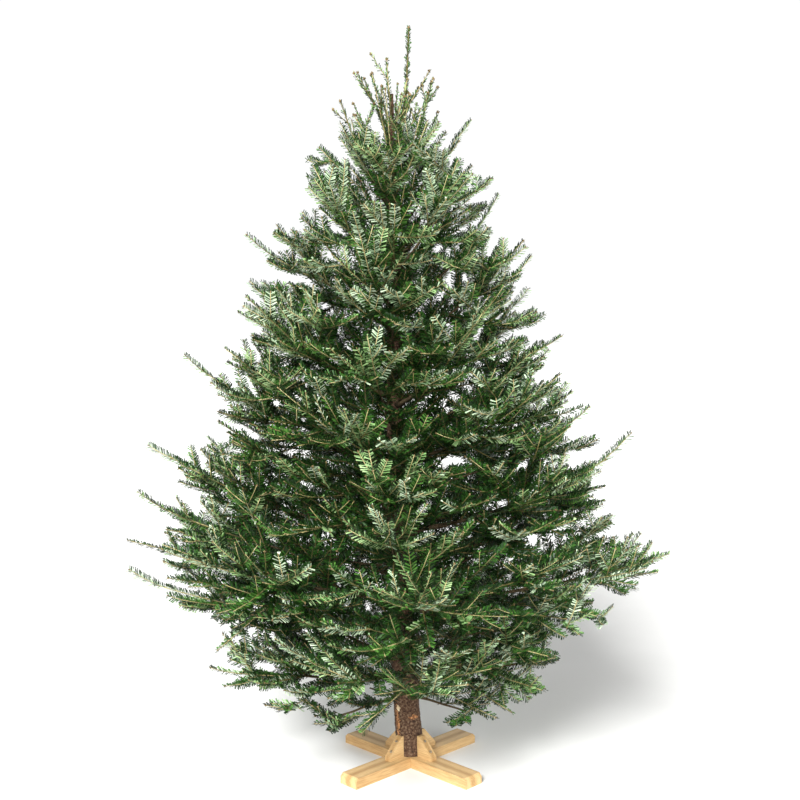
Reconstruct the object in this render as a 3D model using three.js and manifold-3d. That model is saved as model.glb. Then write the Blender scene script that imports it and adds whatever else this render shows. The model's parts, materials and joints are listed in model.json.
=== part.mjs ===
// A cut fir Christmas tree, 2.1 m tall, standing on a plain timber cross.
//
// Frame: millimetres, +Z up, the origin at the middle of the stand's underside. The tree is fullest towards -X.
// The crown follows the way a fir grows. The trunk carries tiers of boughs. Each bough's axis runs out and
// bends upwards, and at each year's joint it throws a pair of side shoots, longer near the trunk than near
// the tip.
// Every bough has a space of its own: what is nearer to its axis than to any other's. A spray of needles is a
// toothed blade on a twig, and one that would leave its bough's space is cut shorter, or left out.
import * as THREE from "three";
import Module from "manifold-3d";

const wasm = await Module();
wasm.setup();

// ---- driving dimensions -------------------------------------------------------------------------------------

const CLEARANCE = 0.3; // between pieces that touch
const SHORTEST_EDGE = 0.04; // left in a piece after joining and cutting

// Stand: two boards halved into each other, and four braces against the trunk.
const BOARD_LENGTH = 500;
const BOARD_WIDTH = 66;
const BOARD_THICKNESS = 30;
const BOARD_CHAMFER = 9;
const BOARD_TURN = Math.PI / 4; // the boards lie on the diagonals
const BRACE_HEIGHT = 62;
const BRACE_FOOT = 58;
const BRACE_THICKNESS = 22;
const BRACE_TOE = 10; // height of the brace's outer end
const BRACE_BITE = 4; // how far the brace is scribed into the trunk's round

// Trunk, measured from its flat cut.
const CUT = BOARD_THICKNESS + CLEARANCE; // height of the cut above the floor
const TRUNK_HEIGHT = 1915; // to the old leader, pruned off
const TRUNK_RADIUS = 41;
const TRUNK_TIP_RADIUS = 6;
const TRUNK_LEAN = 58; // how far the trunk's top stands towards -X
const LEAN_HEIGHT = 600; // height in which most of the lean is reached
const TRUNK_SIDES = 14;
const TRUNK_RINGS = 9;

// Leader: the shoot that took over from the pruned one.
const TREE_HEIGHT = 2100; // from the cut to the leader's tip
const LEADER_ROOT = 1740; // height where it leaves the trunk
const LEADER_OFFSET = 48; // how far it stands from the trunk's line, towards +X
const LEADER_RADIUS = 5;
const LEADER_TIP_RADIUS = 3;
const LEADER_BEND = 100; // height in which it reaches that offset
const LEADER_HALF_WIDTH = 24; // of the blades round it
const LEADER_SPRAYS = [
  { share: 0.42, turn: 0.5, lean: 0 }, // the leader itself, up to the tip
  { share: 0.2, turn: 2.1, lean: 0.1, length: 180 },
  { share: 0.32, turn: 3.9, lean: 0.14, length: 140 },
];
const LEADER_SPACE = 38; // the boughs keep this far from it

// Crown: reach of the shoot tips at four heights above the cut, straight in between.
const CROWN_HEIGHTS = [330, 620, 1300, 1900];
const CROWN_REACHES = [520, 778, 475, 176];
const FULLER_SIDE = 0.014; // the crown reaches this share further towards -X, and less towards +X

// Tiers of boughs, numbered from the ground.
const BOUGHS_IN_TIER = [5, 6, 5, 5, 4, 4, 4, 3];
const FIRST_TIER = 270; // mean height where the lowest boughs leave the trunk
const LAST_TIER = 1622;
const TIERS_WITH_BOUGHS = 3; // above these the twigs start at the trunk
const TIER_TURN = 2.4; // the golden angle, from one tier to the next
const FIRST_TURN = -2.745; // azimuth of the first bough of the lowest tier
const TIER_JITTER = 0.12;
const TIER_STAGGER = 66; // between the lowest and the highest root of one tier
const GOLDEN_SHARE = 0.618;
const CROWN_FLOOR = 139; // no needles below this height above the cut, near the trunk
const FLOOR_SLOPE = 0.135; // the crown's underside rises outwards by this
const LOW_RISE = 85; // how far a bough of the lowest tier climbs to its tip
const HIGH_RISE = 298; // the same at the top of the tree
const RISE_HEIGHT = 250; // height in which the climb grows
const AXIS_BEND = 0.58; // share of the climb that comes towards the tip
const BARE_SHARE = 0.234; // share of a bough's axis that is bare wood
const BOUGH_RADIUS = 9;
const BOUGH_SIDES = 5;
const BOUGH_RINGS = 2;

// Sprays.
const STEM_RADIUS = 6.5;
const STEM_TIP_RADIUS = 2.6;
const STEM_END = 9; // how far the stem covers the root of its end spray
const STEM_SIDES = 3;
const STEM_RINGS = 3;
const YEAR_JOINTS = [0.032, 0.287, 0.542]; // where pairs of side shoots leave the stem, shares of its length
const END_SPRAY = 0.58; // where the end spray is rooted
const WIDE_FORK = 0.7; // between the stem and a side shoot near the trunk
const NARROW_FORK = 0.6; // the same near the tip
const SIDE_SHARE = 1.1; // a side spray's length, as a share of what is left of the bough
const LEAST_SIDE = 120;
const RAISED = [0, 0.3]; // every second side spray rises out of the bough's own plane, by a share in here
const LOWERED = [-0.32, -0.07]; // and the others hang out of it
const SPRAY_ROLL = 1.4; // how far a side spray is turned about its twig
// The sprays that stand above and hang below the stem.
const STANDING_SPRAYS = [
  { joint: 0.105, tilt: 0.61 },
  { joint: 0.433, tilt: -0.824 },
  { joint: 0.497, tilt: 0.868 },
];
const STANDING_SHARE = 0.859; // their length, as a share of what is left of the bough
const END_ROLL = 0.826;
const SPRAY_WIDTH = 0.488; // half the spray's width, as a share of its length
const SPRAY_WIDEST = 103;
const SPRAY_HALF_THICKNESS = 2.6;
const NECK_SHARE = 0.12; // the bare twig at a spray's root, as a share of its length
const NECK_RADIUS = 3.4;
const LAST_TOOTH = 0.74; // where the last pair of teeth ends, as a share of its length
const TOOTH_LEAN = 0.45; // how far a tooth leans forwards, as a share of its reach
const NOTCH_SHARE = 0.6; // how far out the outline stays between two teeth, as a share of their reach
const NOTCH_LEAN = 0.7; // how far forwards the notch lies, as a share of the tooth's lean
const TEETH = 3; // on each side of a long spray; a short one has one fewer
const LONG_SPRAY = 260;
const SHORTEST_SPRAY = 81;
const SPACE_MARGIN = 4; // kept free inside the edge of each bough's space
const SHORTENING = 0.9; // what a spray is cut by until it fits

// ---- rule of growth -----------------------------------------------------------------------------------------

// A share between 0 and 1 that depends only on its two numbers.
function chance(seed, turn) {
  const x = Math.sin(seed * 127.1 + turn * 311.7) * 43758.5453;
  return x - Math.floor(x);
}

function between(low, high, share) {
  return low + (high - low) * share;
}

// Reach of the crown at a height above the cut.
function crownReach(height) {
  let i = 0;
  while (i < CROWN_HEIGHTS.length - 2 && height > CROWN_HEIGHTS[i + 1]) i++;
  const share = (height - CROWN_HEIGHTS[i]) / (CROWN_HEIGHTS[i + 1] - CROWN_HEIGHTS[i]);
  return between(CROWN_REACHES[i], CROWN_REACHES[i + 1], share);
}

// How far a bough climbs between the trunk and its tip.
function climb(root) {
  return HIGH_RISE - (HIGH_RISE - LOW_RISE) * Math.exp(-(root - FIRST_TIER) / RISE_HEIGHT);
}

// Middle of the trunk at a height above the cut.
function trunkCentre(height) {
  return new THREE.Vector3(-TRUNK_LEAN * (1 - Math.exp(-height / LEAN_HEIGHT)), 0, CUT + height);
}

function trunkRadius(height) {
  return between(TRUNK_RADIUS, TRUNK_TIP_RADIUS, height / TRUNK_HEIGHT);
}

function tierRoot(tier) {
  return between(FIRST_TIER, LAST_TIER, tier / (BOUGHS_IN_TIER.length - 1));
}

// Height of the surface that the boughs rooted at one height lie in, at a distance from the trunk's line.
function surfaceHeight(root, distance) {
  const share = distance / crownReach(root + climb(root));
  const rise = climb(root);
  if (share > 1) return root + rise * (1 + (share - 1) * (1 + AXIS_BEND));
  return root + rise * ((1 - AXIS_BEND) * share + AXIS_BEND * share * share);
}

// One entry for each bough of the tree. Within a tier the boughs leave the trunk at staggered heights.
function crownPlan() {
  const boughs = [];
  BOUGHS_IN_TIER.forEach((count, tier) => {
    for (let i = 0; i < count; i++) {
      const seed = tier * 10 + i + 1;
      const turn = (i + TIER_JITTER * (chance(seed, 1) - 0.5)) / count;
      const azimuth = FIRST_TURN + tier * TIER_TURN + turn * 2 * Math.PI;
      const stagger = ((i * GOLDEN_SHARE + tier * 0.37) % 1) - 0.5;
      const root = tierRoot(tier) + TIER_STAGGER * stagger;
      const fuller = 1 - FULLER_SIDE * Math.cos(azimuth);
      const reach = crownReach(root + climb(root)) * fuller * between(0.95, 1.03, chance(seed, 2));
      boughs.push({ name: "tier_" + (tier + 1) + "_" + (i + 1), tier, seed, root, azimuth, reach });
    }
  });
  return boughs;
}

// Point of a bough's axis at a share of its length.
function axisPoint(bough, share) {
  const distance = bough.reach * share;
  const point = trunkCentre(bough.root);
  point.x += distance * Math.cos(bough.azimuth);
  point.y += distance * Math.sin(bough.azimuth);
  point.z = CUT + surfaceHeight(bough.root, share * crownReach(bough.root + climb(bough.root)));
  return point;
}

function axisDirection(bough, share) {
  return axisPoint(bough, share + 0.02).sub(axisPoint(bough, share - 0.02)).normalize();
}

const plan = crownPlan();

// How far a point is from a bough's axis, measured at the point's own distance from the trunk's line.
function distanceToAxis(bough, point) {
  const centre = trunkCentre(bough.root);
  const x = point.x - centre.x;
  const y = point.y - centre.y;
  const out = Math.hypot(x, y);
  const across = Math.hypot(x - out * Math.cos(bough.azimuth), y - out * Math.sin(bough.azimuth));
  return Math.hypot(across, point.z - CUT - surfaceHeight(bough.root, out));
}

// How far a point is from the leader, which bends away from the trunk and then stands straight up.
function distanceToLeader(point) {
  const height = point.z - CUT - LEADER_ROOT;
  if (height < 0) return Infinity;
  const x = trunkCentre(LEADER_ROOT).x + LEADER_OFFSET * Math.min(1, height / LEADER_BEND);
  return Math.hypot(point.x - x, point.y);
}

// Whether a point keeps to the bough's own space: nearer to its axis than to any other, above the floor of the
// crown, and clear of the leader.
function inSpace(bough, point) {
  const own = distanceToAxis(bough, point) + SPACE_MARGIN;
  if (point.z < CUT + CROWN_FLOOR + FLOOR_SLOPE * Math.hypot(point.x, point.y)) return false;
  if (distanceToLeader(point) < LEADER_SPACE) return false;
  return plan.every((other) => other === bough || distanceToAxis(other, point) > own);
}

// ---- solids -------------------------------------------------------------------------------------------------

function solid(points, faces) {
  const vertProperties = new Float32Array(points.flatMap((p) => [p.x, p.y, p.z]));
  const mesh = new wasm.Mesh({ numProp: 3, vertProperties, triVerts: new Uint32Array(faces.flat()) });
  return new wasm.Manifold(mesh);
}

function geometryOf(manifold) {
  const mesh = manifold.getMesh();
  const positions = new Float32Array(mesh.numVert * 3);
  for (let i = 0; i < mesh.numVert; i++) {
    positions.set(mesh.vertProperties.subarray(i * mesh.numProp, i * mesh.numProp + 3), i * 3);
  }
  const geometry = new THREE.BufferGeometry();
  geometry.setAttribute("position", new THREE.BufferAttribute(positions, 3));
  geometry.setIndex(new THREE.BufferAttribute(new Uint32Array(mesh.triVerts), 1));
  geometry.computeVertexNormals();
  return geometry;
}

// The largest closed body of a solid, without the scraps that a cut left loose and without its shortest edges.
function wholeBody(manifold) {
  const body = manifold.decompose().reduce((a, b) => (a.volume() > b.volume() ? a : b));
  return body.simplify(SHORTEST_EDGE);
}

// A closed tapered limb through rings of points, each { centre, radius, normal }.
function limb(rings, sides) {
  const points = [];
  const faces = [];
  rings.forEach(({ centre, radius, normal }) => {
    const upright = Math.abs(normal.z) > 0.9;
    const u = new THREE.Vector3(upright ? 1 : 0, 0, upright ? 0 : 1).cross(normal).normalize();
    const v = new THREE.Vector3().crossVectors(normal, u);
    for (let k = 0; k < sides; k++) {
      const angle = (2 * Math.PI * k) / sides;
      points.push(
        centre
          .clone()
          .addScaledVector(u, radius * Math.cos(angle))
          .addScaledVector(v, radius * Math.sin(angle)),
      );
    }
  });
  for (let r = 0; r < rings.length - 1; r++) {
    for (let k = 0; k < sides; k++) {
      const a = r * sides + k;
      const b = r * sides + ((k + 1) % sides);
      faces.push([a, b, b + sides], [a, b + sides, a + sides]);
    }
  }
  const last = (rings.length - 1) * sides;
  for (let k = 1; k < sides - 1; k++) {
    faces.push([0, k + 1, k], [last, last + k, last + k + 1]);
  }
  return solid(points, faces);
}

// A spray of needles: a toothed blade with a raised rib, from its root along +direction, flat across the
// normal. Its teeth are the side shoots, so they lean forwards, and the outline is sharp all round.
function spray({ root, direction, normal, length, halfWidth, teeth }) {
  const side = new THREE.Vector3().crossVectors(normal, direction).normalize();
  const up = new THREE.Vector3().crossVectors(direction, side).normalize();
  const points = [];
  const faces = [];
  const add = (x, y, z) => {
    const point = root.clone().addScaledVector(direction, x);
    return points.push(point.addScaledVector(side, y).addScaledVector(up, z)) - 1;
  };
  const tail = add(0, 0, 0);
  const tip = add(length, 0, 0);
  const stations = [];
  for (let i = 0; i <= teeth; i++) {
    const x = length * between(NECK_SHARE, LAST_TOOTH, i / teeth);
    const slim = between(1, 0.6, i / teeth);
    const reach = i ? halfWidth * between(1, 0.55, (i - 1) / Math.max(1, teeth - 1)) : 0;
    const lean = reach * TOOTH_LEAN;
    const notch = i ? reach * NOTCH_SHARE : NECK_RADIUS;
    const rib = SPRAY_HALF_THICKNESS * slim;
    const station = { top: add(x, 0, rib), bottom: add(x, 0, -rib) };
    for (const sign of [1, -1]) {
      const tooth = i ? add(x + lean, sign * reach, 0) : null;
      station[sign] = { tooth, notch: add(x + lean * NOTCH_LEAN, sign * notch, 0) };
    }
    stations.push(station);
  }
  // Lays a face on both sides of the blade; each is given as seen from above on the left-hand side.
  const lay = (sign, name, corners) => {
    const turned = (sign > 0) === (name === "top") ? corners : [...corners].reverse();
    faces.push(turned);
  };
  for (const sign of [1, -1]) {
    for (const name of ["top", "bottom"]) {
      const first = stations[0];
      const last = stations[teeth];
      lay(sign, name, [tail, first[name], first[sign].notch]);
      lay(sign, name, [last[name], tip, last[sign].notch]);
      for (let i = 1; i <= teeth; i++) {
        const [behind, here] = [stations[i - 1], stations[i]];
        lay(sign, name, [behind[name], here[sign].tooth, behind[sign].notch]);
        lay(sign, name, [behind[name], here[name], here[sign].tooth]);
        lay(sign, name, [here[name], here[sign].notch, here[sign].tooth]);
      }
    }
  }
  return { points, faces };
}

function spraySolid(shape) {
  const { points, faces } = spray(shape);
  return solid(points, faces);
}

// The root end lies in the stem, which has its place already.
function sprayFits(bough, shape) {
  const { points } = spray(shape);
  return points.slice(1).every((point) => inSpace(bough, point));
}

// The bough's own upward direction at a point where its axis runs forwards.
function axisNormal(bough, forward) {
  const across = new THREE.Vector3(-Math.sin(bough.azimuth), Math.cos(bough.azimuth), 0);
  return new THREE.Vector3().crossVectors(forward, across).normalize();
}

// The sprays that one bough carries, fitted to its space.
function spraysOf(bough) {
  const start = bough.tier < TIERS_WITH_BOUGHS ? BARE_SHARE : 0;
  const sprays = [];
  const fit = (asked) => {
    const sized = { ...asked };
    while (sized.length >= SHORTEST_SPRAY) {
      sized.halfWidth = Math.min((SPRAY_WIDEST * sized.length) / asked.length, SPRAY_WIDTH * sized.length);
      sized.teeth = sized.length > LONG_SPRAY ? TEETH : TEETH - 1;
      if (sprayFits(bough, sized)) {
        sprays.push(sized);
        return;
      }
      sized.length *= SHORTENING;
    }
  };
  YEAR_JOINTS.forEach((joint, year) => {
    for (const side of [-1, 1]) {
      const vary = (turn, low, high) => between(low, high, chance(bough.seed, 10 * year + 5 * side + turn));
      const share = between(start, 1, joint + vary(30, -0.03, 0.03));
      const forward = axisDirection(bough, share);
      const up = axisNormal(bough, forward);
      const fork = between(WIDE_FORK, NARROW_FORK, year / (YEAR_JOINTS.length - 1)) * vary(31, 0.9, 1.1);
      const direction = forward.clone().applyAxisAngle(up, side * fork);
      const [low, high] = (year + side + bough.seed) % 4 < 2 ? RAISED : LOWERED;
      direction.addScaledVector(up, vary(32, low, high)).normalize();
      const normal = up.clone().applyAxisAngle(direction, side * SPRAY_ROLL * vary(33, 0.9, 1.1));
      const length = Math.max(SIDE_SHARE * (1 - share) * bough.reach * vary(34, 0.9, 1.2), LEAST_SIDE);
      fit({ root: axisPoint(bough, share), direction, normal, length });
    }
  });
  for (const { joint, tilt } of STANDING_SPRAYS) {
    const share = between(start, 1, joint);
    const across = new THREE.Vector3(-Math.sin(bough.azimuth), Math.cos(bough.azimuth), 0);
    const direction = axisDirection(bough, share).applyAxisAngle(across, -tilt);
    const length = STANDING_SHARE * (1 - share) * bough.reach;
    fit({ root: axisPoint(bough, share), direction, normal: across, length });
  }
  const share = between(start, 1, END_SPRAY);
  const forward = axisPoint(bough, 1).sub(axisPoint(bough, share));
  const length = forward.length();
  forward.normalize();
  const roll = END_ROLL * (chance(bough.seed, 40) < 0.5 ? -1 : 1);
  const normal = axisNormal(bough, forward).applyAxisAngle(forward, roll);
  fit({ root: axisPoint(bough, share), direction: forward, normal, length });
  return sprays;
}

// ---- the pieces ---------------------------------------------------------------------------------------------

function trunk(extra) {
  const rings = [];
  for (let i = 0; i <= TRUNK_RINGS; i++) {
    const height = (TRUNK_HEIGHT * i) / TRUNK_RINGS;
    const centre = trunkCentre(height);
    if (extra && i === 0) centre.z -= 1;
    if (extra && i === TRUNK_RINGS) centre.z += 1;
    rings.push({ centre, radius: trunkRadius(height) + extra, normal: new THREE.Vector3(0, 0, 1) });
  }
  return limb(rings, TRUNK_SIDES);
}

// Rings along a bough's axis between two shares of its length.
function axisRings(bough, from, to, fromRadius, toRadius, count) {
  const rings = [];
  for (let i = 0; i <= count; i++) {
    const share = between(from, to, i / count);
    const radius = between(fromRadius, toRadius, i / count);
    rings.push({ centre: axisPoint(bough, share), radius, normal: axisDirection(bough, share) });
  }
  return rings;
}

function boughSolid(bough, trunkSpace) {
  const rings = axisRings(bough, 0, BARE_SHARE, BOUGH_RADIUS, STEM_RADIUS, BOUGH_RINGS);
  return wholeBody(limb(rings, BOUGH_SIDES).subtract(trunkSpace));
}

function massSolid(bough, trunkSpace) {
  const hasBough = bough.tier < TIERS_WITH_BOUGHS;
  const gap = CLEARANCE / bough.reach;
  const from = hasBough ? BARE_SHARE + gap * 1.2 : 0;
  const to = between(hasBough ? BARE_SHARE : 0, 1, END_SPRAY) + STEM_END / bough.reach;
  let body = limb(axisRings(bough, from, to, STEM_RADIUS, STEM_TIP_RADIUS, STEM_RINGS), STEM_SIDES);
  for (const shape of spraysOf(bough)) body = body.add(spraySolid(shape));
  return wholeBody(body.subtract(trunkSpace));
}

// The leader: its bare foot bends up beside the trunk, and narrow sprays lean against each other from there.
function leaderSolid(trunkSpace) {
  const root = trunkCentre(LEADER_ROOT);
  const tip = root.clone().setZ(CUT + TREE_HEIGHT);
  tip.x += LEADER_OFFSET;
  const bend = new THREE.Vector3(tip.x, 0, CUT + LEADER_ROOT + LEADER_BEND);
  const curve = new THREE.QuadraticBezierCurve3(root, bend, tip);
  const rings = [0, 0.15, 0.3, 0.45].map((share) => ({
    centre: curve.getPoint(share),
    radius: between(LEADER_RADIUS, LEADER_TIP_RADIUS, share / 0.45),
    normal: curve.getTangent(share),
  }));
  let body = limb(rings, STEM_SIDES);
  for (const { share, turn, lean, length } of LEADER_SPRAYS) {
    const direction = new THREE.Vector3(-Math.sin(turn) * lean, Math.cos(turn) * lean, 1).normalize();
    const normal = new THREE.Vector3(Math.cos(turn), Math.sin(turn), 0);
    const start = curve.getPoint(share);
    const full = length ?? tip.z - start.z;
    const halfWidth = LEADER_HALF_WIDTH;
    const shape = { root: start, direction, normal, length: full, halfWidth, teeth: TEETH };
    body = body.add(spraySolid(shape));
  }
  return wholeBody(body.subtract(trunkSpace));
}

// A board's side profile: chamfered ends, and a halving notch in the top or the bottom.
function boardSolid(notchOnTop) {
  const half = BOARD_LENGTH / 2;
  const notch = BOARD_WIDTH / 2 + CLEARANCE;
  const middle = BOARD_THICKNESS / 2;
  const shape = new THREE.Shape();
  shape.moveTo(-half, 0);
  if (!notchOnTop) {
    shape.lineTo(-notch, 0);
    shape.lineTo(-notch, middle + CLEARANCE / 2);
    shape.lineTo(notch, middle + CLEARANCE / 2);
    shape.lineTo(notch, 0);
  }
  shape.lineTo(half, 0);
  shape.lineTo(half, BOARD_THICKNESS - BOARD_CHAMFER);
  shape.lineTo(half - BOARD_CHAMFER, BOARD_THICKNESS);
  if (notchOnTop) {
    shape.lineTo(notch, BOARD_THICKNESS);
    shape.lineTo(notch, middle - CLEARANCE / 2);
    shape.lineTo(-notch, middle - CLEARANCE / 2);
    shape.lineTo(-notch, BOARD_THICKNESS);
  }
  shape.lineTo(-half + BOARD_CHAMFER, BOARD_THICKNESS);
  shape.lineTo(-half, BOARD_THICKNESS - BOARD_CHAMFER);
  const geometry = new THREE.ExtrudeGeometry(shape, { depth: BOARD_WIDTH, bevelEnabled: false });
  geometry.translate(0, 0, -BOARD_WIDTH / 2);
  geometry.rotateX(Math.PI / 2);
  return geometry;
}

// A brace stands on a board's arm and leans on the trunk: a tall heel, sloping down to a low toe.
function braceGeometry() {
  const shape = new THREE.Shape();
  shape.moveTo(0, 0);
  shape.lineTo(BRACE_FOOT, 0);
  shape.lineTo(BRACE_FOOT, BRACE_TOE);
  shape.lineTo(BRACE_TOE, BRACE_HEIGHT);
  shape.lineTo(0, BRACE_HEIGHT);
  const geometry = new THREE.ExtrudeGeometry(shape, { depth: BRACE_THICKNESS, bevelEnabled: false });
  geometry.translate(TRUNK_RADIUS - BRACE_BITE, 0, -BRACE_THICKNESS / 2);
  geometry.rotateX(Math.PI / 2);
  return geometry;
}

// Solid of a geometry that has its corners repeated from face to face.
function solidOfGeometry(geometry) {
  const corners = new Map();
  const points = [];
  const position = geometry.getAttribute("position");
  const faces = [];
  for (let i = 0; i < position.count; i++) {
    const point = new THREE.Vector3().fromBufferAttribute(position, i);
    const key = point.toArray().map((c) => c.toFixed(3)).join();
    if (!corners.has(key)) corners.set(key, points.push(point) - 1);
    if (i % 3 === 0) faces.push([]);
    faces[faces.length - 1].push(corners.get(key));
  }
  return solid(points, faces);
}

// ---- assembly -----------------------------------------------------------------------------------------------

const bark = new THREE.MeshStandardMaterial({ color: 0x4a3a2c, roughness: 0.95, metalness: 0 });
const boughBark = new THREE.MeshStandardMaterial({ color: 0x6b5640, roughness: 0.9, metalness: 0 });
const needles = new THREE.MeshStandardMaterial({ color: 0x4a6244, roughness: 0.6, metalness: 0 });
const pine = new THREE.MeshStandardMaterial({ color: 0xc9a877, roughness: 0.7, metalness: 0 });

const tree = new THREE.Group();

function addPiece(name, geometry, material) {
  const mesh = new THREE.Mesh(geometry, material);
  mesh.name = name;
  tree.add(mesh);
  return mesh;
}

const trunkSpace = trunk(CLEARANCE * 1.4);
addPiece("trunk", geometryOf(trunk(0)), bark);

const lowerBoard = addPiece("stand_board_lower", boardSolid(true), pine);
lowerBoard.rotation.z = BOARD_TURN;
const upperBoard = addPiece("stand_board_upper", boardSolid(false), pine);
upperBoard.rotation.z = BOARD_TURN + Math.PI / 2;

for (let i = 0; i < 4; i++) {
  const geometry = braceGeometry();
  geometry.rotateZ(BOARD_TURN + (i * Math.PI) / 2);
  geometry.translate(0, 0, CUT);
  const brace = wholeBody(solidOfGeometry(geometry).subtract(trunkSpace));
  addPiece("stand_brace_" + (i + 1), geometryOf(brace), pine);
}

for (const bough of plan) {
  if (bough.tier < TIERS_WITH_BOUGHS) {
    addPiece("bough_" + bough.name, geometryOf(boughSolid(bough, trunkSpace)), boughBark);
  }
  addPiece("foliage_" + bough.name, geometryOf(massSolid(bough, trunkSpace)), needles);
}

addPiece("foliage_leader", geometryOf(leaderSolid(trunkSpace)), needles);

export default tree;
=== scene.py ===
"""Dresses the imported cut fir: bark on its trunk and boughs, twigs, buds and needles that grow by the same
rule as its solids, bare wood on its stand, and a plain stage.

The rule of growth is worked in millimetres, and meshes are made in metres.
"""

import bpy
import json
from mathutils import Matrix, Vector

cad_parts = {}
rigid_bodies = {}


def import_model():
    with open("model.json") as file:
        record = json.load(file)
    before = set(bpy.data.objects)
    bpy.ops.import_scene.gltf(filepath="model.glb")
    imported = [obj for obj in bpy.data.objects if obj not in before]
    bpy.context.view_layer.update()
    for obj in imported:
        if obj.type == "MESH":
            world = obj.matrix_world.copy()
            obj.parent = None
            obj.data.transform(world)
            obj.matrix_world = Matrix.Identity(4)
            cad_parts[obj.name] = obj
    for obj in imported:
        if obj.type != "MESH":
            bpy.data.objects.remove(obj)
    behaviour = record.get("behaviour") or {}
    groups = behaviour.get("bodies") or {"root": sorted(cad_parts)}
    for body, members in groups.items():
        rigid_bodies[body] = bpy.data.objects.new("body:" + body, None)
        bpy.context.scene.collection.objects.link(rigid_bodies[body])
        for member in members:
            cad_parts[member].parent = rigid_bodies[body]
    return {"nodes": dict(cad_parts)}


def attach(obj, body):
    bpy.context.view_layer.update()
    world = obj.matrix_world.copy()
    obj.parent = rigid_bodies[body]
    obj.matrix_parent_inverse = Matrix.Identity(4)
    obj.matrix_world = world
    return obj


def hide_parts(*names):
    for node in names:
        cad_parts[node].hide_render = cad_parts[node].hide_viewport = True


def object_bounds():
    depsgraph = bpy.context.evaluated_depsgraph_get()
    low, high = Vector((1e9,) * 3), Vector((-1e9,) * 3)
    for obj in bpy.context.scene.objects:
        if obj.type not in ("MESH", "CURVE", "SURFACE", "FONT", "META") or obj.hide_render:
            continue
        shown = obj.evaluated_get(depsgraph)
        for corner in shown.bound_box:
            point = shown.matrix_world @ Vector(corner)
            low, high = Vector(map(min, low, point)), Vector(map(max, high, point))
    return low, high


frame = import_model()
CAD_BOX = [list(corner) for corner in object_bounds()]

import functools
import json
import math

import bpy
import numpy as np
from mathutils import Vector, noise

bl_info = {
    "name": "Cut fir tree",
    "version": (1, 0, 0),
    "blender": (4, 5, 0),
    "location": "3D View > Sidebar > Fir",
    "description": "Grows bark, twigs, buds and needles on a cut fir's solids, and finishes its stand",
    "category": "Object",
}

MM = 0.001
UP = np.array([0.0, 0.0, 1.0])

# ---- sizes of the tree's solids, in millimetres ------------------------------------------------------------

CUT = 30.3  # height of the trunk's flat cut above the floor
TRUNK_HEIGHT = 1915  # the pruned top
TRUNK_RADIUS = 41
TRUNK_TIP_RADIUS = 6
TRUNK_LEAN = 58  # how far the trunk leans towards -X,
LEAN_HEIGHT = 600  # and the height over which most of that happens

TREE_HEIGHT = 2100
LEADER_ROOT = 1740  # height where the leader leaves the trunk
LEADER_OFFSET = 48  # how far beside the trunk it stands
LEADER_RADIUS = 5
LEADER_BEND = 100  # height over which it bends upright
LEADER_SPACE = 38  # distance from it that boughs keep clear

CROWN_HEIGHTS = [330, 620, 1300, 1900]  # heights at which the crown's outline bends, above the cut,
CROWN_REACHES = [520, 778, 475, 176]  # and its reach there
FULLER_SIDE = 0.014  # share by which the boughs reach further towards -X

BOUGHS_IN_TIER = [5, 6, 5, 5, 4, 4, 4, 3]
FIRST_TIER = 270  # mean height of the lowest boughs' roots,
LAST_TIER = 1622  # and of the highest
TIERS_WITH_BOUGHS = 3  # tiers whose boughs have a bare inner limb
TIER_TURN = 2.4  # turn from one tier to the next
FIRST_TURN = -2.745
TIER_JITTER = 0.12  # share of the way to the next bough that an azimuth may wander
TIER_STAGGER = 66  # height over which the roots of a tier are spread
GOLDEN_SHARE = 0.618
GOLDEN_TURN = 2.4  # turn from one shoot to the next round a stem
CROWN_FLOOR = 139  # height of the crown's underside at the trunk,
FLOOR_SLOPE = 0.135  # and how steeply it rises outwards
LOW_RISE = 85  # climb of the lowest boughs,
HIGH_RISE = 298  # which grows to this one
RISE_HEIGHT = 250  # over this height
AXIS_BEND = 0.58  # share of the climb that follows the square of the way out
BARE_SHARE = 0.234  # share of a low bough that is bare wood
BOUGH_RADIUS = 9

STEM_RADIUS = 6.5
STEM_TIP_RADIUS = 2.6
YEAR_JOINTS = [0.032, 0.287, 0.542]  # shares of a bough where each year's side sprays leave it
END_SPRAY = 0.58  # share where its end spray starts
WIDE_FORK = 0.7  # angle between a bough and its innermost side sprays,
NARROW_FORK = 0.6  # and its outermost
SIDE_SHARE = 1.1  # length of a side spray, as a share of what is left of the bough
LEAST_SIDE = 120
RAISED = [0, 0.3]  # how far a side spray may point up,
LOWERED = [-0.32, -0.07]  # or down
SPRAY_ROLL = 1.4  # roll of a side spray about its own line
STANDING_SPRAYS = [(0.105, 0.61), (0.433, -0.824), (0.497, 0.868)]  # place and tilt of upright sprays
STANDING_SHARE = 0.859  # their length, as a share of what is left of the bough
END_ROLL = 0.826  # roll of the end spray
SPRAY_WIDTH = 0.488  # half width of a spray, as a share of its length,
SPRAY_WIDEST = 103  # and at most this
SPRAY_HALF_THICKNESS = 2.6
NECK_SHARE = 0.12  # share of a spray's length before its first tooth
NECK_RADIUS = 3.4
LAST_TOOTH = 0.74  # share where its last tooth stands
TOOTH_LEAN = 0.45  # how far a tooth leans forwards, as a share of its reach
NOTCH_SHARE = 0.6  # half width of the blade at a tooth's foot, as a share of the tooth's reach,
NOTCH_LEAN = 0.7  # and how far forwards that lies, as a share of the tooth's lean
TEETH = 3  # teeth on each side of a long spray
LONG_SPRAY = 260  # a spray longer than this has all its teeth
SHORTEST_SPRAY = 81
SPACE_MARGIN = 4  # distance that a spray keeps from the edge of its bough's space
SHORTENING = 0.9  # share to which a spray is cut each time that it doesn't fit

# ---- sizes of the finer growth, in millimetres -------------------------------------------------------------

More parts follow.
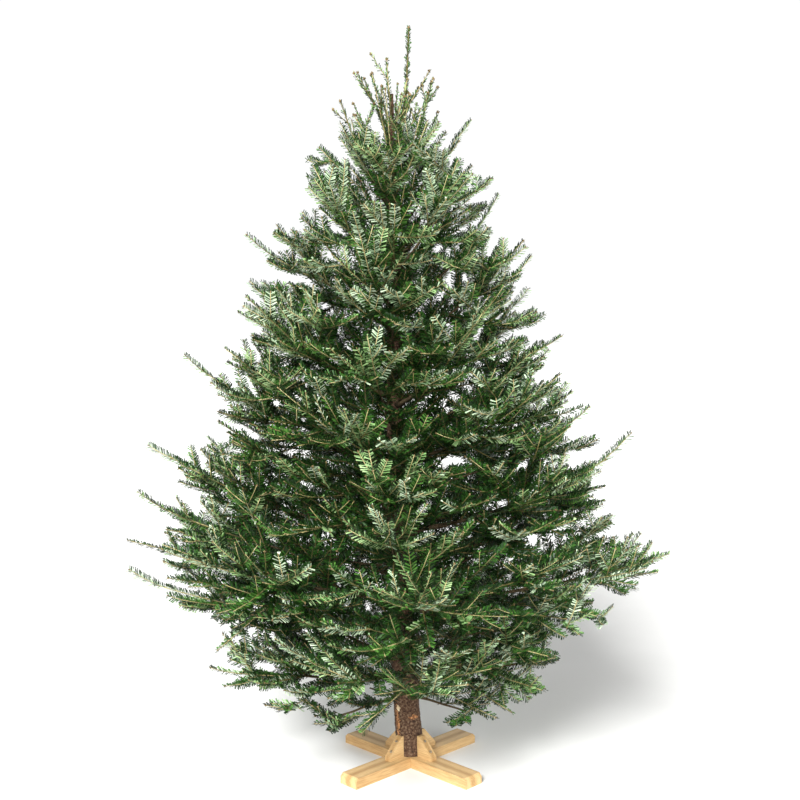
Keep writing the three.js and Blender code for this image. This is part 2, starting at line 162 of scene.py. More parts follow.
LESSER_IN_TIER = [4, 5, 6, 5, 5, 5, 4, 4]  # slight boughs below each tier
LESSER_STAGGER = 70  # height over which their roots are spread
LOW_FULLER = 0.24  # low down, the slight boughs and the outline reach further on one side,
LOW_CROWN = 700  # by a share that dwindles up to this height
LESSER_TURN = -math.pi / 2  # azimuth of the first in each tier,
LOWEST_TURN = -2.45  # except the lowest
LESSER_JITTER = 0.35  # how far an azimuth may wander
LESSER_RADIUS = 4.2
LESSER_SHARE = (0.88, 1.02)  # reach of the slight boughs, as a share of the crown's
FORK_REACH = 0.43  # a side shoot leaves its twig this share of its reach behind its tip's own place
CROSS_SHARE = 0.85  # reach of the shoots out of a spray's own plane, as a share of those in it
TWIG_RADIUS = 2.6
TIP_SHARE = 0.7  # share of the boughs that end in a long shoot standing alone
TIP_SHOOT = (75, 125)
FORKED_SHOOT = 105  # a side shoot longer than this forks once more
TWIG_LIFT = 0.14  # how far a shoot's tip bends upwards, as a share of its length
RISING = (0.16, 0.75)  # how strongly shoots turn upwards at the crown's foot and at its top
DEEPEST_FALL = -0.15  # the steepest that a side shoot may hang
CROWDING = 60  # a shoot may reach this far past the edge of its bough's space
BARE_FOOT = 150  # height of the trunk that stays bare
FOOT_SLOPE = 0.12  # the crown's underside climbs from there,
FOOT_CLEARING = 240  # out to this distance from the trunk
FOOT_OPENING = 70  # in front the crown is thinned more steeply, this far to each side of the trunk
OPENING_SLOPE = 0.38  # and the crown's underside climbs this steeply there
OVERHANG = (0, 90)  # most shoots end at the crown's outline, and a few reach this far past it
BOX_OVERHANG = 22  # and this far past the box round the solids
SLENDER_ABOVE = 1850  # shoots that rise past this height are slender, with short needles pressed to them
SLENDER = 0.8  # how far the needles of such a shoot are pressed to it
SLENDER_KEPT = 0.5  # share of them that is kept
STRAW_SHARE = 0.6  # share of the slender shoots with straw-coloured bark
YOUNG_LIGHT = (0.2, 0.45)  # this year's and last year's shoots take the young bark only where they get more light than this, and the darker older bark elsewhere, as painted shade
PRESSED = 0.4  # shoots whose needles are pressed to them more than this count as slender
TOP_SHOOTS = 11  # steep slender shoots that ring the pruned top
TOP_SHOOT_ROOTS = (1660, 1800)  # heights where they leave the trunk
TOP_SHOOT_TIPS = (1870, 1990)  # heights of their tips
HIDDEN_TRUNK = 620  # above this height the trunk's own shoots come before all others and hide it
TRUNK_SHOOT_STEPS = (19, 12)  # height between the trunk's own shoots, at its foot and at its top
STEM_SHOOT_STEP = 24  # the same along a bough
LIT_DEPTH = 170  # shoots grow close together down to this depth below the crown's outline
CELL = 75  # size of the cells in which growth is counted
GAP_BORDER = 0.17  # gaps are left open this near the outline, as a share of the reach
GAP_DEPTH = 250  # deeper below it than this, only a share of the gaps is filled
DEEP_SHARE = 0.3  # which is this one
HIGHEST_GAP = 1850  # no gap is filled above this height
GAP_GROWTH = (26, 80)  # a cell with less growth than this is a gap, at the foot of the crown and at its top
LONGEST_FILL = 330  # longest twig that fills a gap,
FILL_FORK = 105  # and longest side shoot of it
CELL_GROWTH = (60, 130)  # length of shoots that a cell can carry, deep in the crown and in its light
SHORTEST_SHOOT = 18  # a shoot shorter than this isn't grown
SHORTEST_CUT = 45  # a shoot that comes out shorter than this is left out
STATIONS = 4  # rings of a twig

# ---- sizes of the surface, in millimetres ------------------------------------------------------------------

TRUNK_RINGS = 250  # rings of the trunk's bark,
TRUNK_SIDES = 64  # and sides
LOWER_RINGS = 0.45  # share of the rings in the bare foot of the trunk
FOOT = 330  # height of the bare foot
BOUGH_MESH = (10, 26)  # sides and rings of a main bough,
STEM_MESH = (6, 14)  # of a stem inside the foliage,
LESSER_MESH = (5, 10)  # and of a slight bough
BOUGH_ROOT = 6  # a main bough starts this far inside the trunk,
STEM_ROOT = 4  # and a stem this far
COLLAR_LENGTH = 16  # how far a limb is swollen from the trunk outwards
COLLAR_SWELL = 1.1  # and by which share of its width
# Places where the bark is torn: azimuth, height, half width, half height, the kind of wood that shows, and
# how far it stands out, as a share of the bark's depth. A long strip, a fresh splinter and a ragged knot.
TORN_PLACES = ((-2.5, 96, 7, 50, 1, -0.9), (-2.3, 143, 5, 8, 2, 1.6), (-1.05, 118, 15, 5, 1, 1.8))

# The deep kind is painted shade; leaf and fresh green are also dealt by the light that reaches a shoot, as
# painted shade and light.
NEEDLE_KINDS = ("deep", "leaf", "fresh", "pale", "frost")
PAINTED_SHADE, LEAF, FRESH_AND_LIT, PALE, FROST = range(len(NEEDLE_KINDS))
NEEDLE_PIECE = 95000  # the most needles in one piece
ROLL = 0.7  # how far a shoot's flat of needles may be rolled to either side
SHADED_SHARE = 0.35  # share of the near rank that is dealt one kind darker, as painted shade, on a shoot's upper face
EYE_DISTANCE = 3400  # where somebody stands who looks at the tree,
EYE_HEIGHT = 1380  # and how high their eyes are
LEADER_LIGHT = 2.7  # the leader's needles grow as close together as light this strong would make them

EDGE_WEAR = 1.6  # how far the stand's edges are rounded
SHARPEST_LEFT = 40  # degrees that two faces may turn by before their edge is rounded
SLOPE_TOP = (47.0, 92.3)  # where the slope of a brace starts: distance from the stand's middle, and height
SLOPE_FOOT = (95.0, 40.3)  # where it ends
SCREW_PLACES = (0.24, 0.72)  # shares of the slope
SCREW_RINGS = ((1.3, -1.0), (1.6, 0.45), (3.4, 0.35), (4.2, 0.05), (4.2, -1.5))  # radius and height of each
SCREW_SIDES = 16


# ---- rule of growth ----------------------------------------------------------------------------------------


def chance(seed, turn):
    """A share between 0 and 1 that depends only on its two numbers."""
    x = math.sin(seed * 127.1 + turn * 311.7) * 43758.5453
    return x - math.floor(x)


def between(low, high, share):
    return low + (high - low) * share


def unit(vector):
    return vector / np.linalg.norm(vector, axis=-1, keepdims=True)


def turned(vector, axis, angle):
    """The vector turned about a unit axis."""
    c, s = math.cos(angle), math.sin(angle)
    return vector * c + np.cross(axis, vector) * s + axis * np.dot(axis, vector) * (1 - c)


def outwards(azimuth):
    """The level direction at an azimuth."""
    return np.array([math.cos(azimuth), math.sin(azimuth), 0.0])


def turn_from(start, azimuth):
    """The turn from one azimuth to another, at most half a circle either way."""
    return (azimuth - start + math.pi) % (2 * math.pi) - math.pi


def crown_reach(height):
    """Reach of the crown at a height above the cut."""
    i = 0
    while i < len(CROWN_HEIGHTS) - 2 and height > CROWN_HEIGHTS[i + 1]:
        i += 1
    share = (height - CROWN_HEIGHTS[i]) / (CROWN_HEIGHTS[i + 1] - CROWN_HEIGHTS[i])
    return between(CROWN_REACHES[i], CROWN_REACHES[i + 1], share)


def climb(root):
    """How far a bough climbs between the trunk and its tip."""
    return HIGH_RISE - (HIGH_RISE - LOW_RISE) * math.exp(-(root - FIRST_TIER) / RISE_HEIGHT)


def trunk_centre(height):
    return np.array([-TRUNK_LEAN * (1 - math.exp(-height / LEAN_HEIGHT)), 0.0, CUT + height])


def trunk_radius(height):
    return between(TRUNK_RADIUS, TRUNK_TIP_RADIUS, height / TRUNK_HEIGHT)


def surface_height(root, distance):
    """Height of the surface that boughs rooted at one height lie in, at a distance from the trunk's line."""
    share = distance / crown_reach(root + climb(root))
    rise = climb(root)
    inner = root + rise * ((1 - AXIS_BEND) * share + AXIS_BEND * share * share)
    outer = root + rise * (1 + (share - 1) * (1 + AXIS_BEND))
    return np.where(share > 1, outer, inner)


@functools.cache
def crown_plan():
    """One entry for each bough of the tree."""
    boughs = []
    for tier, count in enumerate(BOUGHS_IN_TIER):
        for i in range(count):
            seed = tier * 10 + i + 1
            turn = (i + TIER_JITTER * (chance(seed, 1) - 0.5)) / count
            azimuth = FIRST_TURN + tier * TIER_TURN + turn * 2 * math.pi
            stagger = ((i * GOLDEN_SHARE + tier * 0.37) % 1) - 0.5
            mean = between(FIRST_TIER, LAST_TIER, tier / (len(BOUGHS_IN_TIER) - 1))
            root = mean + TIER_STAGGER * stagger
            fuller = 1 - FULLER_SIDE * math.cos(azimuth)
            reach = crown_reach(root + climb(root)) * fuller * between(0.95, 1.03, chance(seed, 2))
            name = f"tier_{tier + 1}_{i + 1}"
            boughs.append(dict(name=name, tier=tier, seed=seed, root=root, azimuth=azimuth, reach=reach))
    return boughs


@functools.cache
def lesser_plan():
    """Boughs too slight for the solids, in tiers of their own between the others."""
    boughs = []
    for tier, count in enumerate(LESSER_IN_TIER):
        for i in range(count):
            seed = 200 + tier * 10 + i
            azimuth = LESSER_TURN if tier else LOWEST_TURN
            azimuth += LESSER_JITTER * (chance(seed, 3) - 0.5) + i / count * 2 * math.pi
            mean = between(FIRST_TIER, LAST_TIER, (tier - 0.5) / (len(BOUGHS_IN_TIER) - 1))
            root = mean + LESSER_STAGGER * (chance(seed, 1) - 0.5)
            fuller = 1 - LOW_FULLER * max(0.0, 1 - root / LOW_CROWN) * math.cos(azimuth)
            reach = crown_reach(root + climb(root)) * fuller * between(*LESSER_SHARE, chance(seed, 2))
            name = f"lesser_{tier + 1}_{i + 1}"
            boughs.append(dict(name=name, tier=tier, seed=seed, root=root, azimuth=azimuth, reach=reach))
    return boughs


def axis_point(bough, share):
    """Point of a bough's axis at a share of its length."""
    distance = bough["reach"] * share
    point = trunk_centre(bough["root"])
    point[0] += distance * math.cos(bough["azimuth"])
    point[1] += distance * math.sin(bough["azimuth"])
    point[2] = CUT + surface_height(bough["root"], share * crown_reach(bough["root"] + climb(bough["root"])))
    return point


def axis_direction(bough, share):
    return unit(axis_point(bough, share + 0.02) - axis_point(bough, share - 0.02))


def distance_to_axis(bough, points):
    """How far points are from a bough's axis, measured at their own distance from the trunk's line."""
    centre = trunk_centre(bough["root"])
    x, y = points[:, 0] - centre[0], points[:, 1] - centre[1]
    out = np.hypot(x, y)
    across = np.hypot(x - out * math.cos(bough["azimuth"]), y - out * math.sin(bough["azimuth"]))
    return np.hypot(across, points[:, 2] - CUT - surface_height(bough["root"], out))


def distance_to_leader(points):
    height = points[:, 2] - CUT - LEADER_ROOT
    x = trunk_centre(LEADER_ROOT)[0] + LEADER_OFFSET * np.clip(height / LEADER_BEND, None, 1)
    return np.where(height < 0, np.inf, np.hypot(points[:, 0] - x, points[:, 1]))


def crowding(bough, points):
    """How far points lie past the edge of a bough's own space; less than nothing inside it."""
    own = distance_to_axis(bough, points)
    others = [distance_to_axis(other, points) for other in crown_plan() if other is not bough]
    floor = CUT + CROWN_FLOOR + FLOOR_SLOPE * np.hypot(points[:, 0], points[:, 1])
    past = np.maximum(own - np.min(others, axis=0), floor - points[:, 2])
    return np.maximum(past, LEADER_SPACE - distance_to_leader(points))


def blade_sides(spray):
    side = unit(np.cross(spray["normal"], spray["direction"]))
    return side, unit(np.cross(spray["direction"], side))


def tooth(spray, i):
    """Place along a blade and reach of its tooth i, counted from 1."""
    x = spray["length"] * between(NECK_SHARE, LAST_TOOTH, i / spray["teeth"])
    return x, spray["half_width"] * between(1, 0.55, (i - 1) / max(1, spray["teeth"] - 1))


def blade_points(spray):
    """Corners of the toothed blade that stands for a spray in the solids, without its root."""
    corners = [(spray["length"], 0, 0)]
    for i in range(spray["teeth"] + 1):
        x, reach = tooth(spray, i)
        reach = reach if i else 0
        rib = SPRAY_HALF_THICKNESS * between(1, 0.6, i / spray["teeth"])
        notch = reach * NOTCH_SHARE if i else NECK_RADIUS
        corners += [(x, 0, rib), (x, 0, -rib)]
        for sign in (1, -1):
            corners.append((x + reach * TOOTH_LEAN * NOTCH_LEAN, sign * notch, 0))
            if i:
                corners.append((x + reach * TOOTH_LEAN, sign * reach, 0))
    side, up = blade_sides(spray)
    return spray["root"] + np.array(corners) @ np.stack([spray["direction"], side, up])


def across_of(bough):
    """The level direction across a bough."""
    return np.array([-math.sin(bough["azimuth"]), math.cos(bough["azimuth"]), 0])


def axis_normal(bough, forward):
    return unit(np.cross(forward, across_of(bough)))


def first_share(bough):
    return BARE_SHARE if bough["tier"] < TIERS_WITH_BOUGHS else 0


def fitted(bough, asked):
    """The spray cut shorter until it keeps to its bough's space, or None."""
    length = asked["length"]
    while length >= SHORTEST_SPRAY:
        half_width = min(SPRAY_WIDEST * length / asked["length"], SPRAY_WIDTH * length)
        teeth = TEETH if length > LONG_SPRAY else TEETH - 1
        spray = dict(asked, length=length, half_width=half_width, teeth=teeth)
        if (crowding(bough, blade_points(spray)) < -SPACE_MARGIN).all():
            return spray
        length *= SHORTENING
    return None


def sprays_of(bough):
    """The sprays that one bough carries, fitted to its space."""
    start = first_share(bough)
    asked = []
    for year, joint in enumerate(YEAR_JOINTS):
        for side in (-1, 1):

            def vary(turn, low, high):
                return between(low, high, chance(bough["seed"], 10 * year + 5 * side + turn))

            share = between(start, 1, joint + vary(30, -0.03, 0.03))
            forward = axis_direction(bough, share)
            up = axis_normal(bough, forward)
            fork = between(WIDE_FORK, NARROW_FORK, year / (len(YEAR_JOINTS) - 1)) * vary(31, 0.9, 1.1)
            low, high = RAISED if (year + side + bough["seed"]) % 4 < 2 else LOWERED
            direction = unit(turned(forward, up, side * fork) + up * vary(32, low, high))
            normal = turned(up, direction, side * SPRAY_ROLL * vary(33, 0.9, 1.1))
            length = max(SIDE_SHARE * (1 - share) * bough["reach"] * vary(34, 0.9, 1.2), LEAST_SIDE)
            root = axis_point(bough, share)
            asked.append(dict(root=root, direction=direction, normal=normal, length=length))
    across = across_of(bough)
    for joint, tilt in STANDING_SPRAYS:
        share = between(start, 1, joint)
        direction = turned(axis_direction(bough, share), across, -tilt)
        length = STANDING_SHARE * (1 - share) * bough["reach"]
        asked.append(dict(root=axis_point(bough, share), direction=direction, normal=across, length=length))
    share = between(start, 1, END_SPRAY)
    root = axis_point(bough, share)
    forward = axis_point(bough, 1) - root
    length = np.linalg.norm(forward)
    forward = unit(forward)
    roll = END_ROLL * (-1 if chance(bough["seed"], 40) < 0.5 else 1)
    normal = turned(axis_normal(bough, forward), forward, roll)
    asked.append(dict(root=root, direction=forward, normal=normal, length=length))
    return [spray for spray in (fitted(bough, a) for a in asked) if spray]


# ---- finer growth: twigs and shoots ------------------------------------------------------------------------


def add_shoot(
    shoots, root, tip, seed, parent=None, year=0, radii=(1.5, 0.9), bare=0.04, pressed=0.0, lift=TWIG_LIFT
):
    """Adds one shoot from root to tip. It starts off flatter and bends upwards."""
    chord = tip - root
    length = np.linalg.norm(chord)
    if tip[2] > CUT + SLENDER_ABOVE:
        pressed = max(pressed, SLENDER)
    if length < SHORTEST_SHOOT:
        return None
    bow = UP * length * lift + np.cross(chord, UP) * 0.12 * (chance(seed, 5) - 0.5)
    shoot = dict(root=root, chord=chord, bow=bow, length=length, seed=seed, year=year)
    shoot.update(radii=radii, bare=bare, pressed=pressed, parent=parent, leader=0)
    shoots.append(shoot)
    return shoot


def along(shoot, share):
    return shoot["root"] + shoot["chord"] * share + shoot["bow"] * (share * share - share)


def rising(point):
    """How strongly a shoot turns upwards where it is rooted."""
    return between(*RISING, min(1.0, (point[2] - CUT) / CROWN_HEIGHTS[-1]))


def side_tip(root, forward, out, angle, size):
    """Tip of a side shoot that leaves its twig at an angle and turns upwards."""
    out = np.array([out[0], out[1], max(out[2], DEEPEST_FALL)])
    direction = unit(forward * math.cos(angle) + unit(out) * math.sin(angle) + UP * rising(root) * 0.6)
    return root + direction * size


def fork(shoots, shoot, share, plane, angle, reach, seed, **settings):
    """A pair of side shoots on both sides of a shoot, in the plane that holds the direction given."""
    forward = unit(shoot["chord"] + shoot["bow"] * (2 * share - 1))
    side = unit(plane - forward * np.dot(plane, forward))
    root = along(shoot, share)
    for sign in (1, -1):
        size = reach * between(0.8, 1.2, chance(seed, 11 + sign))
        lean = angle * between(0.8, 1.2, chance(seed, 21 + sign))
        tip = side_tip(root, forward, side * sign, lean, size)
        add_shoot(shoots, root, tip, seed + sign * 0.37, parent=shoot, **settings)


def grow_spray(bough, spray, number, shoots):
    """Turns a spray into a twig of last year's wood, its end shoot, and side shoots that reach its teeth."""
    seed = bough["seed"] + number * 1.7
    side, up = blade_sides(spray)
    length, direction, root = spray["length"], spray["direction"], spray["root"]
    tip = root + direction * length
    twig = add_shoot(shoots, root, tip, seed, year=1, radii=(TWIG_RADIUS, 1.2), bare=0.1, lift=0.08)
    if twig is None:
        return
    for i in range(1, spray["teeth"] + 1):
        x, reach = tooth(spray, i)
        share = max(0.03, (x - FORK_REACH * reach) / length)
        base = along(twig, share)
        size = math.hypot(reach, x + TOOTH_LEAN * reach - share * length)
        for across, part in ((side, 1.0), (up, CROSS_SHARE)):
            for sign in (1, -1):
                turn = seed + i * 3.1 + sign * 0.7 + part
                out = turned(across * sign, direction, between(-0.4, 0.4, chance(turn, 4)))
                angle = between(0.6, 0.95, chance(turn, 6))
                own = part * size * between(0.85, 1.2, chance(turn, 3))
                end = side_tip(base, direction, out, angle, own)
                shoot = add_shoot(shoots, base, end, turn, parent=twig, year=int(own > FORKED_SHOOT))
                if shoot and own > FORKED_SHOOT:
                    fork(shoots, shoot, 0.36, np.cross(shoot["chord"], UP), 0.62, own * 0.68, turn + 0.13)


def grow_tip(bough, shoots):
    """A long shoot that stands alone at a bough's end, past the crown's outline."""
    ends = [shoot for shoot in shoots if shoot["year"] == 1 and shoot["radii"][0] == TWIG_RADIUS]
    if not ends or chance(bough["seed"], 81) > TIP_SHARE:
        return
    twig = max(ends, key=lambda shoot: np.linalg.norm(along(shoot, 1)[:2]))
    root = along(twig, 0.9)
    size = between(*TIP_SHOOT, chance(bough["seed"], 82))
    lift = between(0.1, 0.8, chance(bough["seed"], 83))
    direction = unit(unit(twig["chord"] * np.array([1.0, 1.0, 0.5])) + UP * lift)
    add_shoot(shoots, root, root + direction * size, bough["seed"] + 0.81, parent=twig)


def grow_stem(bough, shoots):
    """Small shoots all round a bough's own stem."""
    start = first_share(bough)
    count = int((END_SPRAY - 0.02) * (1 - start) * bough["reach"] / STEM_SHOOT_STEP)
    for k in range(count):
        share = between(start, 1, between(0.0, END_SPRAY, k / count))
        forward = axis_direction(bough, share)
        out = turned(axis_normal(bough, forward), forward, k * GOLDEN_TURN + bough["seed"])
        root = axis_point(bough, share)
        seed = bough["seed"] + k * 0.9
        size = between(110, 190, chance(bough["seed"] + k, 7))
        tip = side_tip(root, forward, out, between(0.7, 1.1, chance(seed, 8)), size)
        shoot = add_shoot(shoots, root, tip, seed, year=1, radii=(2.0, 1.1))
        fork(shoots, shoot, 0.34, np.cross(shoot["chord"], UP), 0.7, size * 0.6, seed + 0.2)


def grow_from_trunk(shoots):
    """Shoots that the trunk carries between its boughs."""
    height, k = 210.0, 0
    while height < TRUNK_HEIGHT - 60:
        level = height / TRUNK_HEIGHT
        azimuth = k * GOLDEN_TURN + 0.6
        out = outwards(azimuth)
        direction = unit(out + UP * between(0.25, 1.5, level))
        size = between(170, 300, chance(k, 50)) * between(1.1, 0.8, level)
        root = trunk_centre(height) + out * trunk_radius(height) * 0.7
        shoot = add_shoot(shoots, root, root + direction * size, k + 0.5, year=1, radii=(2.6, 1.2), bare=0.08)
        fork(shoots, shoot, 0.28, np.cross(direction, UP), 0.75, size * 0.6, k + 0.1)
        fork(shoots, shoot, 0.58, np.cross(direction, UP), 0.65, size * 0.5, k + 0.3)
        height += between(*TRUNK_SHOOT_STEPS, level)
        k += 1


def grow_top(shoots):
    """Steep slender shoots that ring the pruned top."""
    for k in range(TOP_SHOOTS):
        height = between(*TOP_SHOOT_ROOTS, chance(k, 61))
        azimuth = k * GOLDEN_TURN + 1.1
        out = outwards(azimuth)
        root = trunk_centre(height) + out * 4
        rise = between(*TOP_SHOOT_TIPS, chance(k, 63)) - height
        tip = root + UP * rise + out * rise * between(0.2, 0.65, chance(k, 62))
        add_shoot(shoots, root, tip, k + 700, radii=(1.9, 1.2), bare=0.1, pressed=1.0, lift=0.05)


def leader_curve(share):
    """Point of the leader's line, from the trunk up to its tip."""
    root = trunk_centre(LEADER_ROOT)
    tip = np.array([root[0] + LEADER_OFFSET, 0.0, CUT + TREE_HEIGHT])
    bend = np.array([tip[0], 0.0, CUT + LEADER_ROOT + LEADER_BEND])
    return root * (1 - share) ** 2 + bend * 2 * share * (1 - share) + tip * share**2


def grow_leader(shoots):
    """The leader in three lengths, with a few side shoots at its foot."""
    shares = (0.0, 0.3, 0.62, 1.0)
    radii = (LEADER_RADIUS, 3.6, 2.8, 1.9)
    for k in range(3):
        start, end = leader_curve(shares[k]), leader_curve(shares[k + 1])
        shoot = add_shoot(
            shoots, start, end, 900 + k, year=1, radii=radii[k : k + 2], bare=0.0, pressed=0.45, lift=0.0
        )
        shoot["bow"] = shoot["bow"] * 0
        shoot["leader"] = k + 1
    for k in range(4):
        root = leader_curve(between(0.1, 0.24, k / 3))
        azimuth = k * GOLDEN_TURN + 0.3
        out = outwards(azimuth)
        direction = unit(out * 0.55 + UP)
        size = between(80, 130, chance(k, 71))
        add_shoot(shoots, root, root + direction * size, k + 950, pressed=SLENDER, lift=0.05)


def outline_reach(points):
    """Reach of the crown's outline at the height of points, and how far they stand from the trunk's line."""
    height = points[:, 2] - CUT
    outline = np.interp(height, [0, *CROWN_HEIGHTS, TREE_HEIGHT], [430, *CROWN_REACHES, 60])
    x = points[:, 0] + TRUNK_LEAN * (1 - np.exp(-height / LEAN_HEIGHT))
    distance = np.hypot(x, points[:, 1])
    fuller = LOW_FULLER * np.clip(1 - height / LOW_CROWN, 0, 1) * x / np.maximum(distance, 1)
    return outline * (1 - fuller), distance


def tips_of(shoots):
    return np.array([shoot["root"] + shoot["chord"] for shoot in shoots])


def past_edges(bough, shoots):
    """How far each shoot's tip lies past the edges of its bough's space, the outline and the solids' box."""
    tips = tips_of(shoots)
    outline, distance = outline_reach(tips)
    overhang = np.array([between(*OVERHANG, chance(shoot["seed"], 12) ** 4) for shoot in shoots])
    low, high = np.array(CAD_BOX) / MM
    past_box = np.max(np.concatenate([tips - high, low - tips], axis=1), axis=1)
    past = np.maximum(distance - outline - overhang, past_box - BOX_OVERHANG)
    return np.maximum(past, crowding(bough, tips) - CROWDING if bough else -np.inf)


def keep_to_spaces(bough, shoots):
    """The shoots that stay close to their bough's space. Others are cut shorter, or else left out."""
    for cut in (0.85, 0.8, 0.75):
        for shoot, over in zip(shoots, past_edges(bough, shoots)):
            if over > 0:
                for name in ("chord", "bow", "length"):
                    shoot[name] = shoot[name] * cut
    kept = zip(shoots, past_edges(bough, shoots))
    return [shoot for shoot, over in kept if over < 0 and shoot["length"] > SHORTEST_CUT]


def light_at(points):
    """Light that reaches points: all of it at the crown's outline and beyond, and none deep in the crown."""
    outline, distance = outline_reach(points)
    return np.clip(1.5 - (outline - distance) / LIT_DEPTH, 0, 1)


def shoot_light(shoots):
    """Light that reaches each shoot where it carries most of its needles."""
    return light_at(shoots["root"] + shoots["chord"] * 0.6)


def cells_of(shoot):
    """The cells of space that a shoot grows through."""
    spots = np.array([along(shoot, share) for share in (0.5, 0.95)])
    return [tuple(cell) for cell in np.floor(spots / CELL).astype(int)], spots


def count_growth(growth, shoot, cells):
    for cell in cells:
        growth[cell] = growth.get(cell, 0) + shoot["length"] / len(cells)


def carried(shoots):
    """The shoots that find room, and the growth in every cell. A cell carries more growth in the light."""
    taken, kept, growth = set(), [], {}
    for shoot in shoots:
        parent = shoot["parent"]
        if parent is not None and id(parent) not in taken:
            continue
        cells, spots = cells_of(shoot)
        room = between(*CELL_GROWTH, light_at(spots))
        full = all(growth.get(cell, 0) > limit for cell, limit in zip(cells, room))
        crowded_top = shoot["pressed"] == SLENDER and chance(shoot["seed"], 9) > SLENDER_KEPT
        if crowded_top or (full and not shoot["leader"] and shoot["pressed"] == 0):
            continue
        count_growth(growth, shoot, cells)
        taken.add(id(shoot))
        kept.append(shoot)
    return kept, growth


def wood_points(shoots):
    """Points of the wood that can carry another twig: stems of boughs and last year's twigs."""
    points = []
    for bough in crown_plan() + lesser_plan():
        start = max(first_share(bough), 0.12)
        points += [axis_point(bough, between(start, 1, END_SPRAY * k / 12)) for k in range(13)]
    for shoot in shoots:
        if shoot["year"] > 0:
            points += [along(shoot, share) for share in (0.25, 0.5, 0.75)]
    return np.array(points)


def grow_into_gaps(shoots, growth):
    """Twigs that reach for the light: one from the nearest wood into each cell that has little growth."""
    wood = wood_points(shoots)
    steps = np.arange(-11, 12)
    grid = np.stack(np.meshgrid(steps, steps, np.arange(1, 27), indexing="ij"), axis=-1).reshape(-1, 3)
    centres = (grid + 0.5) * CELL
    outline, distance = outline_reach(centres)
    floor = CUT + CROWN_FLOOR + FLOOR_SLOPE * distance
    depth = outline - distance
    inside = (depth > GAP_BORDER * outline) & (centres[:, 2] > floor) & (centres[:, 2] < CUT + HIGHEST_GAP)
    grid, centres, depth = grid[inside], centres[inside], depth[inside]
    for number in np.argsort(-depth, kind="stable"):
        cell, centre = tuple(grid[number]), centres[number]
        seed = 1000 + number * 0.7
        least = between(*GAP_GROWTH, (centre[2] - CUT) / HIGHEST_GAP)
        if growth.get(cell, 0) > least or (depth[number] > GAP_DEPTH and chance(seed, 4) > DEEP_SHARE):
            continue
        aim = centre + CELL * 0.3 * np.array([chance(seed, k) - 0.5 for k in (1, 2, 3)])
        away = unit(aim * np.array([1.0, 1.0, 0.0]))
        gap = aim - wood
        run = np.linalg.norm(gap, axis=1)
        against = np.maximum(0, run * 0.5 - gap @ away) + np.maximum(0, -gap[:, 2])
        nearest = np.argmin(run + 1.5 * against)
        if run[nearest] > LONGEST_FILL or run[nearest] < 40:
            continue
        root = wood[nearest]
        tip = aim + unit(gap[nearest] + away * 60) * 25
        size = float(np.linalg.norm(tip - root))
        twig = add_shoot(shoots, root, tip, seed, year=1, radii=(2.2, 1.2), bare=0.06)
        added = [twig]
        for share, reach in ((0.35, 0.62), (0.66, 0.5)):
            before = len(shoots)
            plane = np.cross(twig["chord"], UP)
            fork(shoots, twig, share, plane, 0.75, min(FILL_FORK, size * reach), seed + share)
            added += shoots[before:]
        for shoot in added:
            count_growth(growth, shoot, cells_of(shoot)[0])
    low, high = np.array(CAD_BOX) / MM
    tips = tips_of(shoots)
    outside = np.any((tips < low - BOX_OVERHANG) | (tips > high + BOX_OVERHANG), axis=1)
    over_foot = np.array([hangs_over_foot(shoot) for shoot in shoots])
    return [shoot for shoot, out in zip(shoots, outside | over_foot) if not out]


def hangs_over_foot(shoot):
    """Whether a shoot comes down in front of the bare foot of the trunk."""
    spots = np.array([along(shoot, share) for share in (0.0, 0.35, 0.7, 1.0)])
    out = np.hypot(spots[:, 0], spots[:, 1])
    height = spots[:, 2] - CUT - BARE_FOOT
    in_front = (np.abs(spots[:, 0]) < FOOT_OPENING) & (spots[:, 1] < 0) & (height < OPENING_SLOPE * out)
    return bool(np.any(in_front | ((out < FOOT_CLEARING) & (height < FOOT_SLOPE * out))))


@functools.cache
def crown_shoots():
    """Every shoot of the crown, as arrays by name."""
    from_trunk = []
    grow_from_trunk(from_trunk)
    from_trunk = keep_to_spaces(None, from_trunk)
    shoots = [shoot for shoot in from_trunk if shoot["root"][2] > CUT + HIDDEN_TRUNK]
    for bough in crown_plan() + lesser_plan():
        own = []
        for number, spray in enumerate(sprays_of(bough)):
            grow_spray(bough, spray, number, own)
        grow_stem(bough, own)
        own = keep_to_spaces(bough, own)
        grow_tip(bough, own)
        shoots += own
    shoots += [shoot for shoot in from_trunk if shoot["root"][2] <= CUT + HIDDEN_TRUNK]
    grow_top(shoots)
    grow_leader(shoots)
    shoots, growth = carried(shoots)
    shoots = grow_into_gaps(shoots, growth)
    names = [name for name in shoots[0] if name != "parent"]
    return {name: np.array([shoot[name] for shoot in shoots]) for name in names}


# ---- meshes ------------------------------------------------------------------------------------------------


def mesh_piece(name, points, faces, materials, smooth=False, material_index=None):
    """A mesh object from arrays: points in millimetres, and faces that all have as many corners."""
    mesh = bpy.data.meshes.new(name)
    corners = faces.shape[1]
    mesh.vertices.add(len(points))
    mesh.vertices.foreach_set("co", (points * MM).astype(np.float32).ravel())
    mesh.loops.add(faces.size)
    mesh.loops.foreach_set("vertex_index", faces.astype(np.int32).ravel())
    mesh.polygons.add(len(faces))
    mesh.polygons.foreach_set("loop_start", np.arange(0, faces.size, corners, dtype=np.int32))
    mesh.polygons.foreach_set("use_smooth", np.full(len(faces), smooth))
    if material_index is not None:
        mesh.polygons.foreach_set("material_index", material_index.astype(np.int32))
    mesh.update(calc_edges=True)
    for material in materials:
        mesh.materials.append(material)
    piece = bpy.data.objects.new(name, mesh)
    bpy.context.scene.collection.objects.link(piece)
    return piece


